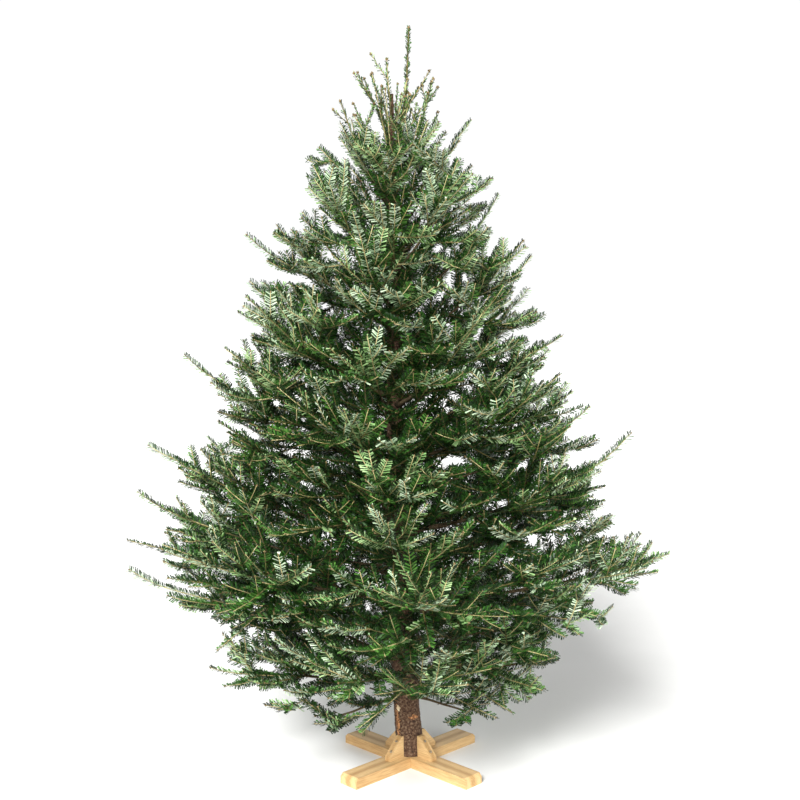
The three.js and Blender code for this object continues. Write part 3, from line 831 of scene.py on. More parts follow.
def tubes(centres, radii, ups, sides):
    """Closed tapered limbs, one for each row of centres: their points and triangles."""
    count, rings = centres.shape[:2]
    forward = unit(np.gradient(centres, axis=1))
    across = unit(np.cross(forward, ups[:, None, :]))
    over = np.cross(across, forward)
    angles = np.arange(sides) * 2 * math.pi / sides
    ring = np.cos(angles)[:, None] * across[:, :, None, :] + np.sin(angles)[:, None] * over[:, :, None, :]
    points = centres[:, :, None, :] + ring * radii[:, :, None, None]
    one = []
    for r in range(rings - 1):
        for k in range(sides):
            a, b = r * sides + k, r * sides + (k + 1) % sides
            one += [(a, b + sides, b), (a, a + sides, b + sides)]
    last = (rings - 1) * sides
    for k in range(1, sides - 1):
        one += [(0, k, k + 1), (last, last + k + 1, last + k)]
    faces = np.array(one)[None] + (np.arange(count) * rings * sides)[:, None, None]
    return points.reshape(-1, 3), faces.reshape(-1, 3)


def joined(parts):
    """Points and faces of several lots as one."""
    points, faces, start = [], [], 0
    for some_points, some_faces in parts:
        points.append(some_points)
        faces.append(some_faces + start)
        start += len(some_points)
    return np.concatenate(points), np.concatenate(faces)


def steady_up(forward):
    """A direction across each limb that never runs along it."""
    steep = np.abs(forward[:, 2:3]) > 0.9
    return np.where(steep, np.array([[1.0, 0.0, 0.0]]), UP[None])


def shoot_tubes(chosen, sides):
    """The twigs of the chosen shoots."""
    shoots = crown_shoots()
    share = np.linspace(0, 1, STATIONS)[None, :, None]
    root, chord, bow = (shoots[name][chosen][:, None, :] for name in ("root", "chord", "bow"))
    centres = root + chord * share + bow * (share * share - share)
    radii = shoots["radii"][chosen]
    radii = radii[:, :1] + (radii[:, 1:] - radii[:, :1]) * share[:, :, 0]
    return tubes(centres, radii, steady_up(unit(chord[:, 0])), sides)


# ---- bark --------------------------------------------------------------------------------------------------

def bark_relief(point, plate, depth):
    """How far bark stands out at a point: plates with cracks between them, over a finer grain."""
    near, far = noise.voronoi(Vector((point[0], point[1], point[2] * 0.6)) / plate)[0][:2]
    crack = min(1.0, (far - near) * 3.2)
    grain = noise.fractal(Vector(point) / (plate * 0.45), 0.9, 2.1, 3)
    swell = noise.noise(Vector(point) / (plate * 4.5))
    return depth * (crack - 0.6 + 0.5 * grain + 0.8 * swell)


def trunk_collars():
    """Where boughs leave the trunk: azimuth, height and size of each swelling."""
    collars = []
    for bough in crown_plan():
        radius = BOUGH_RADIUS if bough["tier"] < TIERS_WITH_BOUGHS else STEM_RADIUS
        collars.append((bough["azimuth"], bough["root"], radius))
    return np.array(collars)


def in_patch(patch, azimuth, height, radius, rough):
    """Whether a spot of the trunk lies in a ragged oval patch."""
    across = turn_from(patch[0], azimuth)
    return math.hypot(across * radius / patch[2], (height - patch[1]) / patch[3]) + rough < 1


def trunk_bark(depth):
    """Points, faces and the kind of surface of each face of the trunk."""
    low = int(TRUNK_RINGS * LOWER_RINGS)
    heights = np.concatenate(
        [np.linspace(0, FOOT, low, endpoint=False), np.linspace(FOOT, TRUNK_HEIGHT, TRUNK_RINGS - low)]
    )
    azimuths = np.arange(TRUNK_SIDES) * 2 * math.pi / TRUNK_SIDES
    collars = trunk_collars()
    points, kinds = [], []
    for height in heights:
        centre, radius = trunk_centre(height), trunk_radius(height)
        for azimuth in azimuths:
            out = outwards(azimuth)
            spot = centre + out * radius
            plate = between(9.5, 5.5, height / TRUNK_HEIGHT)
            stand = bark_relief(spot, plate, depth * between(1, 0.45, height / TRUNK_HEIGHT))
            across = turn_from(collars[:, 0], azimuth)
            away = np.hypot(across * radius, (height - collars[:, 1]) * 0.8)
            stand += float((collars[:, 2] * 0.55 * np.exp(-((away / (collars[:, 2] * 1.5)) ** 2))).sum())
            rough = 0.9 * noise.noise(Vector(spot) / 4)
            kind = 0
            for patch in TORN_PLACES if height < FOOT else ():
                if in_patch(patch, azimuth, height, radius, rough):
                    kind, stand = patch[4], depth * patch[5] * (1 + rough)
            points.append(centre + out * (radius - depth * 0.4 + stand))
            kinds.append(kind)
    rings, kinds = len(heights), np.array(kinds).reshape(len(heights), TRUNK_SIDES)
    faces, kind_of_face = [], []
    for r in range(rings - 1):
        for k in range(TRUNK_SIDES):
            a, b = r * TRUNK_SIDES + k, r * TRUNK_SIDES + (k + 1) % TRUNK_SIDES
            faces.append((a, b, b + TRUNK_SIDES, a + TRUNK_SIDES))
            kind_of_face.append(kinds[r, k])
    for ring, height, turn in ((0, 0.0, -1), (rings - 1, TRUNK_HEIGHT, 1)):
        points.append(trunk_centre(height))
        hub = len(points) - 1
        for k in range(0, TRUNK_SIDES, 2):
            corners = [ring * TRUNK_SIDES + (k + step) % TRUNK_SIDES for step in (0, 1, 2)]
            faces.append((hub, *(corners if turn > 0 else corners[::-1])))
            kind_of_face.append(3)
    return np.array(points), np.array(faces), np.array(kind_of_face)


def limb_tubes(bough, start, end, radii, sides, rings):
    """A bough's wood between two shares of its axis, swollen at the trunk."""
    shares = np.linspace(start, end, rings)
    centres = np.array([axis_point(bough, share) for share in shares])
    centres += np.array(
        [[noise.noise(Vector(c) / 60 + Vector((7, 3, axis)) * 3) for axis in range(3)] for c in centres]
    ) * np.linspace(0, 5, rings)[:, None]
    widths = np.linspace(*radii, rings)
    distance = shares * bough["reach"] - trunk_radius(bough["root"])
    widths = widths * (1 + COLLAR_SWELL * np.exp(-np.maximum(distance, 0) / COLLAR_LENGTH))
    widths = widths * np.array([1 + 0.09 * noise.noise(Vector(c) / 9) for c in centres])
    return tubes(centres[None], widths[None], UP[None], sides)


# ---- needles -----------------------------------------------------------------------------------------------


def needle_places(shoots, settings):
    """For every needle: its shoot, its share along it, and its turn round it. Fewer grow in the shade."""
    light = shoot_light(shoots)
    slender = shoots["pressed"] > PRESSED
    light = np.where(slender, 0.9, light)
    light = np.where(shoots["leader"] > 0, LEADER_LIGHT, light)
    per_mm = between(settings.shaded_needles, settings.needles_per_mm, light)
    per_mm = per_mm * np.where(slender & (shoots["leader"] == 0), 0.62, 1.0)
    counts = (per_mm * shoots["length"] * (1 - shoots["bare"])).astype(int)
    of = np.repeat(np.arange(len(counts)), counts)
    order = np.arange(counts.sum()) - np.repeat(np.cumsum(counts) - counts, counts)
    bare = shoots["bare"][of]
    return of, bare + (1 - bare) * (order + 0.5) / counts[of], order, light


def needle_quads(settings):
    """The corners of every needle, and each one's kind."""
    shoots = crown_shoots()
    rng = np.random.default_rng(11)
    of, share, order, light = needle_places(shoots, settings)
    root, chord, bow = (shoots[name][of] for name in ("root", "chord", "bow"))
    pressed, seeds = shoots["pressed"][of], shoots["seed"][of]
    spot = root + chord * share[:, None] + bow * (share * share - share)[:, None]
    forward = unit(chord + bow * (2 * share - 1)[:, None])

    # The shoot's upper side faces up, and in towards the trunk where the shoot is steep.
    outward = spot * np.array([1.0, 1.0, 0.0])
    outward = outward / np.maximum(np.linalg.norm(outward, axis=1, keepdims=True), 1e-6)
    roll = np.array([between(-ROLL, ROLL, chance(seed, 91)) for seed in shoots["seed"]])[of]
    rough_up = UP[None] - outward * 0.35
    up = unit(rough_up - forward * np.sum(rough_up * forward, axis=1, keepdims=True))
    side = np.cross(forward, up)
    c, s = np.cos(roll)[:, None], np.sin(roll)[:, None]
    up, side = up * c + side * s, side * c - up * s

    # On each side an upper and a lower rank, and a few short needles on top that point forward. The rank that
    # is nearer to somebody who walks round the tree is the more open one; the far rank is dealt the darkest
    # green, as painted shade between the near needles, so the near one shows brighter.
    sign = np.where(order % 2 == 0, 1.0, -1.0)
    rank = ((order // 2) * GOLDEN_SHARE + 0.31 * seeds) % 1
    on_top = rank < settings.top_share
    eye = outward * EYE_DISTANCE + UP * EYE_HEIGHT
    underside = np.sum(up * unit(eye - spot), axis=1) < 0
    near = rank < settings.top_share + settings.near_share
    upper = near != underside
    spread = rng.random(len(of))
    from_up = np.where(upper, np.radians(52 + 26 * spread), np.radians(92 + 24 * spread))
    from_up = np.where(on_top, np.radians(10 + 45 * spread), from_up)
    from_up = np.where(pressed > PRESSED, math.pi * spread, from_up)
    lean = np.where(on_top, np.radians(40), np.radians(58)) + rng.normal(0, 0.06, len(of)) * (1 + 5 * pressed)
    lean = lean * (1 - 0.45 * pressed)
    out = up * np.cos(from_up)[:, None] + side * (sign * np.sin(from_up))[:, None]
    along_needle = unit(forward * np.cos(lean)[:, None] + out * np.sin(lean)[:, None])
    facing = up * np.sin(from_up)[:, None] + forward * (0.3 + 0.5 * np.cos(from_up))[:, None]
    facing = facing + rng.normal(0, 0.3, facing.shape)
    facing = unit(facing - along_needle * np.sum(facing * along_needle, axis=1, keepdims=True))
    width = np.cross(along_needle, facing)

    taper = 1 - 0.4 * np.abs(2 * share - 1) ** 4
    size = settings.needle_length / MM * taper * np.where(on_top, 0.7, 1.0) * rng.uniform(0.9, 1.08, len(of))
    size = size * (1 - 0.54 * pressed)
    half = settings.needle_width / MM / 2 * between(1.3, 1.0, np.clip(light[of], 0, 1))
    half = half * np.where(near, 1.2, 0.85)
    radius = between(shoots["radii"][of, 0], shoots["radii"][of, 1], share)
    foot = spot + out * (radius * 0.8)[:, None]
    end = foot + along_needle * size[:, None]
    across = width * half[:, None]
    corners = np.stack([foot - across * 0.55, foot + across * 0.55, end + across, end - across], axis=1)

    # Near needles that are not bright are dealt one kind darker in kinds_of_needles, as painted shade.
    bright = rank > settings.top_share + settings.near_share * SHADED_SHARE
    return corners, kinds_of_needles(shoots, of, light[of], underside, near, bright)


def kinds_of_needles(shoots, of, light, underside, near, bright):
    """Deals each needle its kind: painted light and shade by how deep its shoot lies in the crown, the face
    it shows and how near its rank is.

    Upper faces are deep, a painted shade, where it is dimmest, then leaf green, and fresh, a painted light,
    in the light, with some of this year's pale. Undersides are leaf green as painted shade where it is dim,
    and frosty, pale or fresh elsewhere. The far rank is all deep, a painted shade.
    """
    dealt = np.array([chance(seed, 77) for seed in shoots["seed"]])[of]
    lit = light + 0.5 * (dealt - 0.5)
    young = shoots["year"][of] == 0
    # Darker kinds where less light reaches a shoot, and leaf green instead of frosty undersides there, are
    # painted shade; fresh green where most light reaches is painted light.
    tests = [(lit < 0.1) & (dealt < 0.5), (lit < 0.5) | (dealt < 0.22), young & (dealt > 0.68)]
    top_kind = np.select(tests, [PAINTED_SHADE, LEAF, PALE], FRESH_AND_LIT)
    low_kind = np.select([lit < 0.3, dealt < 0.34, dealt < 0.62], [LEAF, FROST, PALE], FRESH_AND_LIT)
    # Where the upper face shows, near needles that are not bright take a kind one darker, as painted shade.
    kind = np.where(underside, low_kind, np.where(bright, top_kind, np.maximum(top_kind - 1, PAINTED_SHADE)))
    kind = np.where(shoots["pressed"][of] > PRESSED, np.where(dealt > 0.55, PALE, FRESH_AND_LIT), kind)
    # The far rank takes the darkest kind, as painted shade.
    return np.where(near, kind, PAINTED_SHADE)


# ---- buds --------------------------------------------------------------------------------------------------


def bud_solids():
    """A small pointed bud at the end of every shoot, and a knot of them on the shoots of the top."""
    shoots = crown_shoots()
    tips = shoots["root"] + shoots["chord"]
    light = light_at(tips)
    forward = unit(shoots["chord"] + shoots["bow"])
    centres, axes, sizes = [], [], []
    for i, (tip, ahead, pressed, seed) in enumerate(zip(tips, forward, shoots["pressed"], shoots["seed"])):
        if shoots["leader"][i] in (1, 2) or light[i] < 0.05:
            continue
        slender = pressed > PRESSED
        size = 2.9 if slender else 2.1
        around = 3 if slender else (2 if chance(seed, 55) > 0.6 else 0)
        centres.append(tip)
        axes.append(ahead)
        sizes.append(size)
        across = unit(np.cross(ahead, steady_up(ahead[None])[0]))
        for k in range(around):
            out = turned(across, ahead, k * 2 * math.pi / around + seed)
            centres.append(tip - ahead * size * 0.8 + out * size * 0.9)
            axes.append(unit(ahead + out * 0.7))
            sizes.append(size * 0.8)
    centres, axes, sizes = np.array(centres), np.array(axes), np.array(sizes)[:, None]
    across = unit(np.cross(axes, steady_up(axes)))
    over = np.cross(across, axes)
    corners = np.stack(
        [
            centres - axes * sizes,
            centres + across * sizes,
            centres + over * sizes,
            centres - across * sizes,
            centres - over * sizes,
            centres + axes * sizes * 1.7,
        ],
        axis=1,
    )
    one = np.array([(0, 2, 1), (0, 3, 2), (0, 4, 3), (0, 1, 4), (5, 1, 2), (5, 2, 3), (5, 3, 4), (5, 4, 1)])
    faces = one[None] + (np.arange(len(centres)) * 6)[:, None, None]
    return corners.reshape(-1, 3), faces.reshape(-1, 3)


# ---- screws of the stand -----------------------------------------------------------------------------------

def screw_heads():
    """Flush screw heads with a sunk drive, two on the slope of each brace: their points and triangles."""
    top, foot = np.array(SLOPE_TOP), np.array(SLOPE_FOOT)
    fall = (foot - top) / np.linalg.norm(foot - top)
    turn = np.arange(SCREW_SIDES) * 2 * math.pi / SCREW_SIDES
    here = np.arange(SCREW_SIDES)
    after = (here + 1) % SCREW_SIDES
    centres = SCREW_SIDES * len(SCREW_RINGS) + np.array([0, 1])
    faces = [np.stack([centres[0] + 0 * here, here, after], axis=1)]
    for ring in range(len(SCREW_RINGS) - 1):
        near, far = ring * SCREW_SIDES, (ring + 1) * SCREW_SIDES
        faces.append(np.stack([near + here, far + here, far + after], axis=1))
        faces.append(np.stack([near + here, far + after, near + after], axis=1))
    last = SCREW_SIDES * (len(SCREW_RINGS) - 1)
    faces.append(np.stack([centres[1] + 0 * here, last + after, last + here], axis=1))
    faces = np.concatenate(faces)
    heads = []
    for arm in range(4):
        azimuth = math.pi / 4 + arm * math.pi / 2
        out = outwards(azimuth)
        down = out * fall[0] + UP * fall[1]
        axis = UP * fall[0] - out * fall[1]
        across = np.cross(axis, down)
        circle = down * np.cos(turn)[:, None] + across * np.sin(turn)[:, None]
        for share in SCREW_PLACES:
            distance, height = between(top, foot, share)
            centre = out * distance + UP * height
            rings = [centre + axis * rise + circle * radius for radius, rise in SCREW_RINGS]
            ends = [centre + axis * SCREW_RINGS[0][1], centre + axis * SCREW_RINGS[-1][1]]
            heads.append((np.concatenate([*rings, ends]), faces))
    return joined(heads)


# ---- materials ---------------------------------------------------------------------------------------------


def linear(hex_colour):
    """Linear colour from an sRGB hex value such as '#4a5b3c'."""
    values = [int(hex_colour[i : i + 2], 16) / 255 for i in (1, 3, 5)]
    return [v / 12.92 if v <= 0.04045 else ((v + 0.055) / 1.055) ** 2.4 for v in values] + [1.0]


def add_node(material, kind, inputs=(), **settings):
    """Adds a node, sets what it is given, and links sockets to its inputs."""
    node = material.node_tree.nodes.new(kind)
    for name, value in settings.items():
        setattr(node, name, value)
    for name, value in dict(inputs).items():
        if isinstance(value, bpy.types.NodeSocket):
            material.node_tree.links.new(value, node.inputs[name])
        else:
            node.inputs[name].default_value = value
    return node


def new_material(name, **shader):
    """A material with its Principled shader, whose sockets take the values given."""
    material = bpy.data.materials.new(name)
    material.use_nodes = True
    principled = material.node_tree.nodes["Principled BSDF"]
    for socket, value in shader.items():
        principled.inputs[socket.replace("_", " ")].default_value = value
    return material, principled


def ramp(material, factor, *stops):
    """A colour ramp over (place, hex colour) stops."""
    node = add_node(material, "ShaderNodeValToRGB", {"Fac": factor})
    elements = node.color_ramp.elements
    while len(elements) < len(stops):
        elements.new(0.5)
    for element, (place, colour) in zip(elements, stops):
        element.position, element.color = place, linear(colour)
    return node.outputs["Color"]


def per_metre(millimetres):
    """Texture scale that gives a pattern of that size."""
    return 1 / (millimetres * MM)


def place(material):
    return add_node(material, "ShaderNodeTexCoord").outputs["Object"]


def link(material, source, target):
    material.node_tree.links.new(source, target)


def stretched(material, scale, angle=0.0):
    """The place on a surface, turned about the vertical and then scaled."""
    inputs = {"Vector": place(material), "Rotation": (0.0, 0.0, -angle)}
    inputs = {"Vector": add_node(material, "ShaderNodeMapping", inputs).outputs[0], "Scale": scale}
    return add_node(material, "ShaderNodeMapping", inputs).outputs[0]


def noise_of(material, where, size, detail):
    """A noise whose pattern has that size in millimetres."""
    inputs = {"Vector": where, "Scale": per_metre(size), "Detail": detail}
    return add_node(material, "ShaderNodeTexNoise", inputs).outputs["Fac"]


def combined(material, first, second, operation="ADD"):
    return add_node(material, "ShaderNodeMath", {0: first, 1: second}, operation=operation).outputs[0]


def paint(material, principled, factor, *stops):
    """Colours a surface by a ramp over a factor."""
    link(material, ramp(material, factor, *stops), principled.inputs["Base Color"])


def emboss(material, principled, height, strength, depth):
    """Roughens a surface by a height, down to a depth in millimetres."""
    bump = add_node(
        material, "ShaderNodeBump", {"Height": height, "Strength": strength, "Distance": depth * MM}
    )
    link(material, bump.outputs["Normal"], principled.inputs["Normal"])


def drifting_material(name, darker, lighter, roughness, size, detail, first=0.35, tall=1.0):
    """A surface whose tint drifts from one colour to another, in patches of a size or in tall streaks."""
    material, principled = new_material(name, Roughness=roughness, IOR=1.45)
    drift = noise_of(material, stretched(material, (1.0, 1.0, 1 / tall)), size, detail)
    paint(material, principled, drift, (first, darker), (1 - first, lighter))
    return material


def needle_material(name, darker, lighter, roughness):
    """Waxy fir needle: a soft shine, and a tint that drifts from one spray to the next."""
    return drifting_material(name, darker, lighter, roughness, 70, 2.0, first=0.34)


def twig_material(name, darker, lighter, roughness):
    """Young fir bark: smooth and tan, a little greener or browner from twig to twig."""
    return drifting_material(name, darker, lighter, roughness, 40, 3.0)


def raw_wood_material(name, darker, lighter, streak):
    """Fresh torn wood or inner bark: streaked along the stem."""
    return drifting_material(name, darker, lighter, 0.8, streak, 4.0, tall=1 / 0.15)


def bark_material(name, crack, plate, lichen, plate_size):
    """Rough fir bark: dark in its cracks, grey-brown on its plates, with a dusting of pale lichen."""
    material, principled = new_material(name, Roughness=0.92, IOR=1.45)
    where = place(material)
    plates = add_node(
        material,
        "ShaderNodeTexVoronoi",
        {"Vector": where, "Scale": per_metre(plate_size)},
        feature="DISTANCE_TO_EDGE",
    )
    grain = noise_of(material, where, plate_size * 0.7, 6.0)
    mixed = combined(material, plates.outputs["Distance"], grain, "MULTIPLY")
    both = combined(material, mixed, grain)
    paint(material, principled, both, (0.3, crack), (0.55, plate), (0.8, lichen))
    emboss(material, principled, both, 0.7, 1.5)
    return material


def zinc_material():
    """Zinc-plated steel: a cool metal shine, slightly blotched by the bath."""
    material, principled = new_material("zinc_plated_steel", Metallic=1.0)
    blotches = noise_of(material, place(material), 2, 2.0)
    paint(material, principled, blotches, (0.35, "#b9b7ae"), (0.65, "#d8d6cc"))
    roughness = add_node(material, "ShaderNodeMapRange", {"Value": blotches, "To Min": 0.25, "To Max": 0.42})
    link(material, roughness.outputs["Result"], principled.inputs["Roughness"])
    return material


def board_material(name, angle, darker, lighter):
    """Planed softwood board: growth rings cut lengthways, 6 mm apart, and a fine grain along the board."""
    material, principled = new_material(name, Roughness=0.62, IOR=1.45)
    where = stretched(material, (0.06, 1.0, 1.0), angle)
    waver, fine = noise_of(material, where, 28, 2.0), noise_of(material, where, 2, 5.0)
    rings = add_node(
        material,
        "ShaderNodeTexWave",
        {"Vector": where, "Scale": per_metre(6) / 20, "Distortion": 2.2, "Detail": 2.0, "Detail Scale": 1.2},
        bands_direction="Y",
    )
    mixed = combined(material, rings.outputs["Fac"], waver, "MULTIPLY")
    paint(material, principled, combined(material, mixed, fine), (0.35, darker), (0.95, lighter))
    emboss(material, principled, fine, 0.25, 0.3)
    return material


def paper_material():
    """Matt white paper: evenly pale, with a tooth too fine to see."""
    material, principled = new_material("white_paper", Roughness=0.9)
    tooth = noise_of(material, place(material), 400, 2.0)
    paint(material, principled, tooth, (0.3, "#ececea"), (0.7, "#f0f0ee"))
    return material


# ---- the studio's light ------------------------------------------------------------------------------------

# The walls are white up to a line, and the ceiling above it is dimmer.
CEILING = {"From Min": 0.27, "From Max": 0.45, "To Min": 1.03, "To Max": 0.12}
# Each soft box: its name, the direction it stands in, how wide it spreads in degrees, and its strength.
LAMPS = (
    ("key", (-1.2, -3.4, 2.5), 20, 5.5),
    ("fill", (1.8, -3.4, 0.8), 40, 1.4),
    ("back", (0.8, 3.2, 2.6), 50, 1.0),
)
FLOOR_HALF = 30  # half of the floor's side, in metres
CAMERA_SPOT = (-0.0316, -3.4, 1.38)
CAMERA_LENS = 53.2
CAMERA_TILT = 5.07  # degrees below the level

# ---- settings that a user would change ---------------------------------------------------------------------


def number_setting(name, description, default, **settings):
    return bpy.props.FloatProperty(name=name, description=description, default=default, **settings)


def length_setting(name, description, millimetres):
    return number_setting(name, description, millimetres * MM, unit="LENGTH")


def share_setting(name, description, default):
    return number_setting(name, description, default, subtype="FACTOR")


def colour_setting(name, description, default):
    return bpy.props.StringProperty(name=name, description=f"sRGB hex, {description}", default=default)


class FIR_PG_growth(bpy.types.PropertyGroup):
    needle_length: length_setting("Needle length", "Length of a full-grown needle", 18)
    needle_width: length_setting("Needle width", "Width of a needle near its tip", 3.0)
    needles_per_mm: number_setting("Needles", "Needles for each millimetre of shoot in the light", 0.9)
    near_share: share_setting("Near rank", "Share of the needles in the rank that is seen best", 0.3)
    shaded_needles: number_setting("Shaded needles", "The same, for a shoot deep in the crown", 0.64)
    top_share: share_setting("Brushed up", "Share of the needles that stand on top of a shoot", 0.1)
    bark_depth: length_setting("Bark depth", "Depth of the bark's cracks at the foot", 1.5)


class FIR_PG_colours(bpy.types.PropertyGroup):
    # The deep colour is painted shade on needles deep in the crown and in the far rank, and the fresh colour
    # is also painted light on the best-lit shoots.
    deep: colour_setting("Deep needles", "shaded needles", "#1f4314")
    leaf: colour_setting("Needles", "grown needles", "#3b6826")
    fresh: colour_setting("Fresh needles", "this year's needles", "#5a8a3d")
    pale: colour_setting("Undersides", "undersides of needles", "#aeca90")
    frost: colour_setting("Frosty undersides", "bluer undersides", "#d4e3c6")
    twig: colour_setting("Young twigs", "this year's twigs", "#cfc08c")


# ---- operators ---------------------------------------------------------------------------------------------


def nodes_named(start):
    return sorted(name for name in frame["nodes"] if name.startswith(start))


def finish_piece(piece, nodes):
    """Ties a piece to the frame's root body, and hides the solids that it stands for."""
    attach(piece, "root")
    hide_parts(*nodes)


class FIR_OT_trunk(bpy.types.Operator):
    """Covers the trunk with bark"""

    bl_idname = "fir.trunk"
    bl_label = "Grow the trunk"

    def execute(self, context):
        points, faces, kinds = trunk_bark(context.scene.fir_growth.bark_depth / MM)
        materials = [
            bark_material("fir_bark", "#1a110c", "#553c2b", "#7c6650", 9),
            raw_wood_material("inner_bark", "#5e3219", "#cf9560", 3.5),
            raw_wood_material("torn_sapwood", "#b58a5a", "#f0e2bd", 3),
            raw_wood_material("sawn_end", "#c9a468", "#e6cf9c", 9),
        ]
        piece = mesh_piece("trunk_bark", points, faces, materials, smooth=True, material_index=kinds)
        finish_piece(piece, ["trunk"])
        return {"FINISHED"}


class FIR_OT_boughs(bpy.types.Operator):
    """Covers the main boughs with bark"""

    bl_idname = "fir.boughs"
    bl_label = "Grow the main boughs"

    def execute(self, context):
        parts = []
        for bough in crown_plan():
            if bough["tier"] < TIERS_WITH_BOUGHS:
                start = (trunk_radius(bough["root"]) - BOUGH_ROOT) / bough["reach"]
                radii = (BOUGH_RADIUS, STEM_RADIUS)
                parts.append(limb_tubes(bough, start, BARE_SHARE + 0.02, radii, *BOUGH_MESH))
        points, faces = joined(parts)
        bark = bark_material("bough_bark", "#221a12", "#57462f", "#7d7156", 5)
        piece = mesh_piece("bough_limbs", points, faces, [bark], smooth=True)
        finish_piece(piece, nodes_named("bough_"))
        return {"FINISHED"}


class FIR_OT_twigs(bpy.types.Operator):
    """Grows the stems inside the foliage, last year's twigs and this year's; twigs in less light take the
    darker older bark, as painted shade
    """

    bl_idname = "fir.twigs"
    bl_label = "Grow the twigs"

    def execute(self, context):
        foliage = nodes_named("foliage_")
        stems = []
        for bough in crown_plan() + lesser_plan():
            slight = bough in lesser_plan()
            in_trunk = (trunk_radius(bough["root"]) - STEM_ROOT) / bough["reach"]
            start = in_trunk if slight else first_share(bough) or in_trunk
            end = between(first_share(bough), 1, END_SPRAY)
            radii = (LESSER_RADIUS if slight else STEM_RADIUS, STEM_TIP_RADIUS)
            stems.append(limb_tubes(bough, start, end, radii, *(LESSER_MESH if slight else STEM_MESH)))
        points, faces = joined(stems)
        bark = bark_material("stem_bark", "#1f1810", "#4d3f29", "#6f6246", 5)
        finish_piece(mesh_piece("stems", points, faces, [bark], smooth=True), foliage)
        shoots = crown_shoots()
        # Twigs in less light take the darker older bark, as painted shade.
        young = shoot_light(shoots) > between(*YOUNG_LIGHT, shoots["year"])
        straw = np.array([chance(seed, 83) for seed in shoots["seed"]]) < STRAW_SHARE
        young &= (shoots["pressed"] < PRESSED) | (straw & (shoots["leader"] == 0))
        older_and_shaded = twig_material("older_and_shaded_twig", "#4b4426", "#857947", 0.75)
        piece = mesh_piece("twigs_older_and_shaded", *shoot_tubes(np.flatnonzero(~young), 4), [older_and_shaded], smooth=True)
        finish_piece(piece, foliage)
        tan = twig_material("young_lit_twig", "#a1905a", context.scene.fir_colours.twig, 0.6)
        piece = mesh_piece("twigs_young_lit", *shoot_tubes(np.flatnonzero(young), 3), [tan], smooth=True)
        finish_piece(piece, foliage)
        return {"FINISHED"}


class FIR_OT_needles(bpy.types.Operator):
    """Grows the needles, each kind in pieces of its own"""

    bl_idname = "fir.needles"
    bl_label = "Grow the needles"

    def execute(self, context):
        foliage = nodes_named("foliage_")
        colours = context.scene.fir_colours
        materials = {
            # Deep needles are painted shade, and fresh ones are also painted light on the best-lit shoots.
            "deep": needle_material("painted_shade_needle", "#0d1e07", colours.deep, 0.45),
            "leaf": needle_material("leaf_needle", "#214716", colours.leaf, 0.32),
            "fresh": needle_material("fresh_and_lit_needle", "#315a1e", colours.fresh, 0.3),
            "pale": needle_material("pale_underside", "#7ba562", colours.pale, 0.42),
            "frost": needle_material("frosty_underside", "#9bbb90", colours.frost, 0.42),
        }
        corners, kinds = needle_quads(context.scene.fir_growth)
        for number, kind in enumerate(NEEDLE_KINDS):
            own = corners[kinds == number]
            parts = math.ceil(len(own) / NEEDLE_PIECE)
            for part in range(parts):
                some = own[part::parts]
                faces = np.arange(len(some) * 4).reshape(-1, 4)
                name = f"needles_{kind}_{part + 1}"
                piece = mesh_piece(name, some.reshape(-1, 3), faces, [materials[kind]])
                finish_piece(piece, foliage)
        return {"FINISHED"}


class FIR_OT_buds(bpy.types.Operator):
    """Sets a bud on every shoot"""

    bl_idname = "fir.buds"
    bl_label = "Set the buds"

    def execute(self, context):
        brown = twig_material("bud_scales", "#6a5434", "#9c855c", 0.55)
        piece = mesh_piece("buds", *bud_solids(), [brown], smooth=True)
        finish_piece(piece, nodes_named("foliage_"))
        return {"FINISHED"}


class FIR_OT_stand(bpy.types.Operator):
    """Finishes the boards and braces of the stand"""

    bl_idname = "fir.stand"
    bl_label = "Finish the stand"

    def execute(self, context):
        for number, name in enumerate(nodes_named("stand_")):
            angle = math.pi / 4 * (3 if number % 2 else 1)
            solid = frame["nodes"][name]
            solid.data.materials.clear()
            solid.data.materials.append(board_material(f"pine_{name}", angle, "#a67c48", "#d9b884"))
            soft_edge = solid.modifiers.new("worn_edges", "BEVEL")
            soft_edge.width, soft_edge.segments = EDGE_WEAR * MM, 2
            soft_edge.limit_method, soft_edge.angle_limit = "ANGLE", math.radians(SHARPEST_LEFT)
        return {"FINISHED"}


class FIR_OT_screws(bpy.types.Operator):
    """Drives the screws that hold the stand's braces"""

    bl_idname = "fir.screws"
    bl_label = "Drive the screws"

    def execute(self, context):
        piece = mesh_piece("screw_heads", *screw_heads(), [zinc_material()])
        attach(piece, "root")
        return {"FINISHED"}


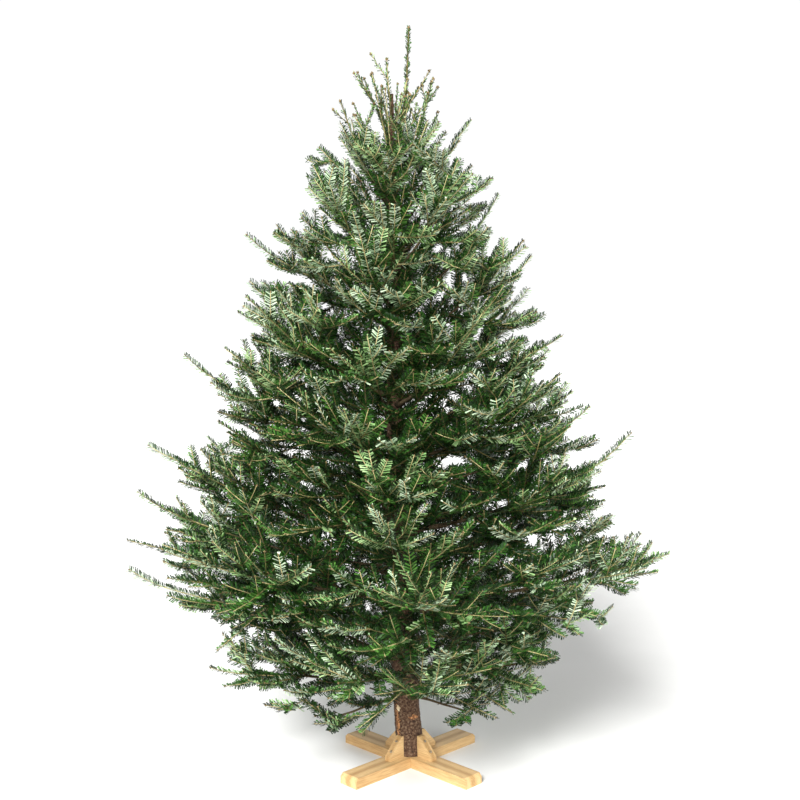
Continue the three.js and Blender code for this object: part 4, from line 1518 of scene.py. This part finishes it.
class FIR_OT_stage(bpy.types.Operator):
    """Lays the floor and sets the lights and the camera"""

    bl_idname = "fir.stage"
    bl_label = "Set the stage"

    def execute(self, context):
        scene = context.scene
        corners = [(-1, -1, 0), (1, -1, 0), (1, 1, 0), (-1, 1, 0)]
        floor = mesh_piece(
            "floor", np.array(corners) * FLOOR_HALF / MM, np.array([(0, 1, 2, 3)]), [paper_material()]
        )
        world = bpy.data.worlds.new("studio")
        scene.world = world
        world.use_nodes = True
        background = world.node_tree.nodes["Background"]
        background.inputs["Color"].default_value = (1.0, 1.0, 1.0, 1.0)
        direction = add_node(world, "ShaderNodeTexCoord").outputs["Generated"]
        climb_of_ray = add_node(world, "ShaderNodeSeparateXYZ", {"Vector": direction}).outputs["Z"]
        strength = add_node(world, "ShaderNodeMapRange", {"Value": climb_of_ray, **CEILING})
        link(world, strength.outputs[0], background.inputs["Strength"])
        for name, spot, spread, power in LAMPS:
            data = bpy.data.lights.new(name, "SUN")
            data.angle, data.energy = math.radians(spread), power
            lamp = bpy.data.objects.new(name, data)
            lamp.location = spot
            lamp.rotation_euler = (-lamp.location).to_track_quat("-Z", "Y").to_euler()
            scene.collection.objects.link(lamp)
        camera_data = bpy.data.cameras.new("camera")
        camera_data.sensor_width, camera_data.lens = 36, CAMERA_LENS
        camera = bpy.data.objects.new("camera", camera_data)
        camera.location = CAMERA_SPOT
        camera.rotation_euler = (math.radians(90 - CAMERA_TILT), 0, 0)
        scene.collection.objects.link(camera)
        scene.camera = camera
        scene.view_settings.view_transform = "Standard"
        return {"FINISHED"}


class FIR_PT_panel(bpy.types.Panel):
    """Lists the fir's sizes, colours and steps"""

    bl_idname = "FIR_PT_panel"
    bl_label = "Cut fir"
    bl_space_type = "VIEW_3D"
    bl_region_type = "UI"
    bl_category = "Fir"

    def draw(self, context):
        for group in (context.scene.fir_growth, context.scene.fir_colours):
            for name in group.__annotations__:
                self.layout.prop(group, name)
        for operator in OPERATORS:
            self.layout.operator(operator.bl_idname)


OPERATORS = (
    FIR_OT_trunk,
    FIR_OT_boughs,
    FIR_OT_twigs,
    FIR_OT_needles,
    FIR_OT_buds,
    FIR_OT_stand,
    FIR_OT_screws,
    FIR_OT_stage,
)
CLASSES = (FIR_PG_growth, FIR_PG_colours, *OPERATORS, FIR_PT_panel)


def register():
    for kind in CLASSES:
        bpy.utils.register_class(kind)
    bpy.types.Scene.fir_growth = bpy.props.PointerProperty(type=FIR_PG_growth)
    bpy.types.Scene.fir_colours = bpy.props.PointerProperty(type=FIR_PG_colours)


def unregister():
    del bpy.types.Scene.fir_colours
    del bpy.types.Scene.fir_growth
    for kind in reversed(CLASSES):
        bpy.utils.unregister_class(kind)


def main():
    register()
    bpy.ops.fir.trunk()
    bpy.ops.fir.boughs()
    bpy.ops.fir.twigs()
    bpy.ops.fir.needles()
    bpy.ops.fir.buds()
    bpy.ops.fir.stand()
    bpy.ops.fir.screws()
    bpy.ops.fir.stage()


if __name__ == "__main__":
    main()
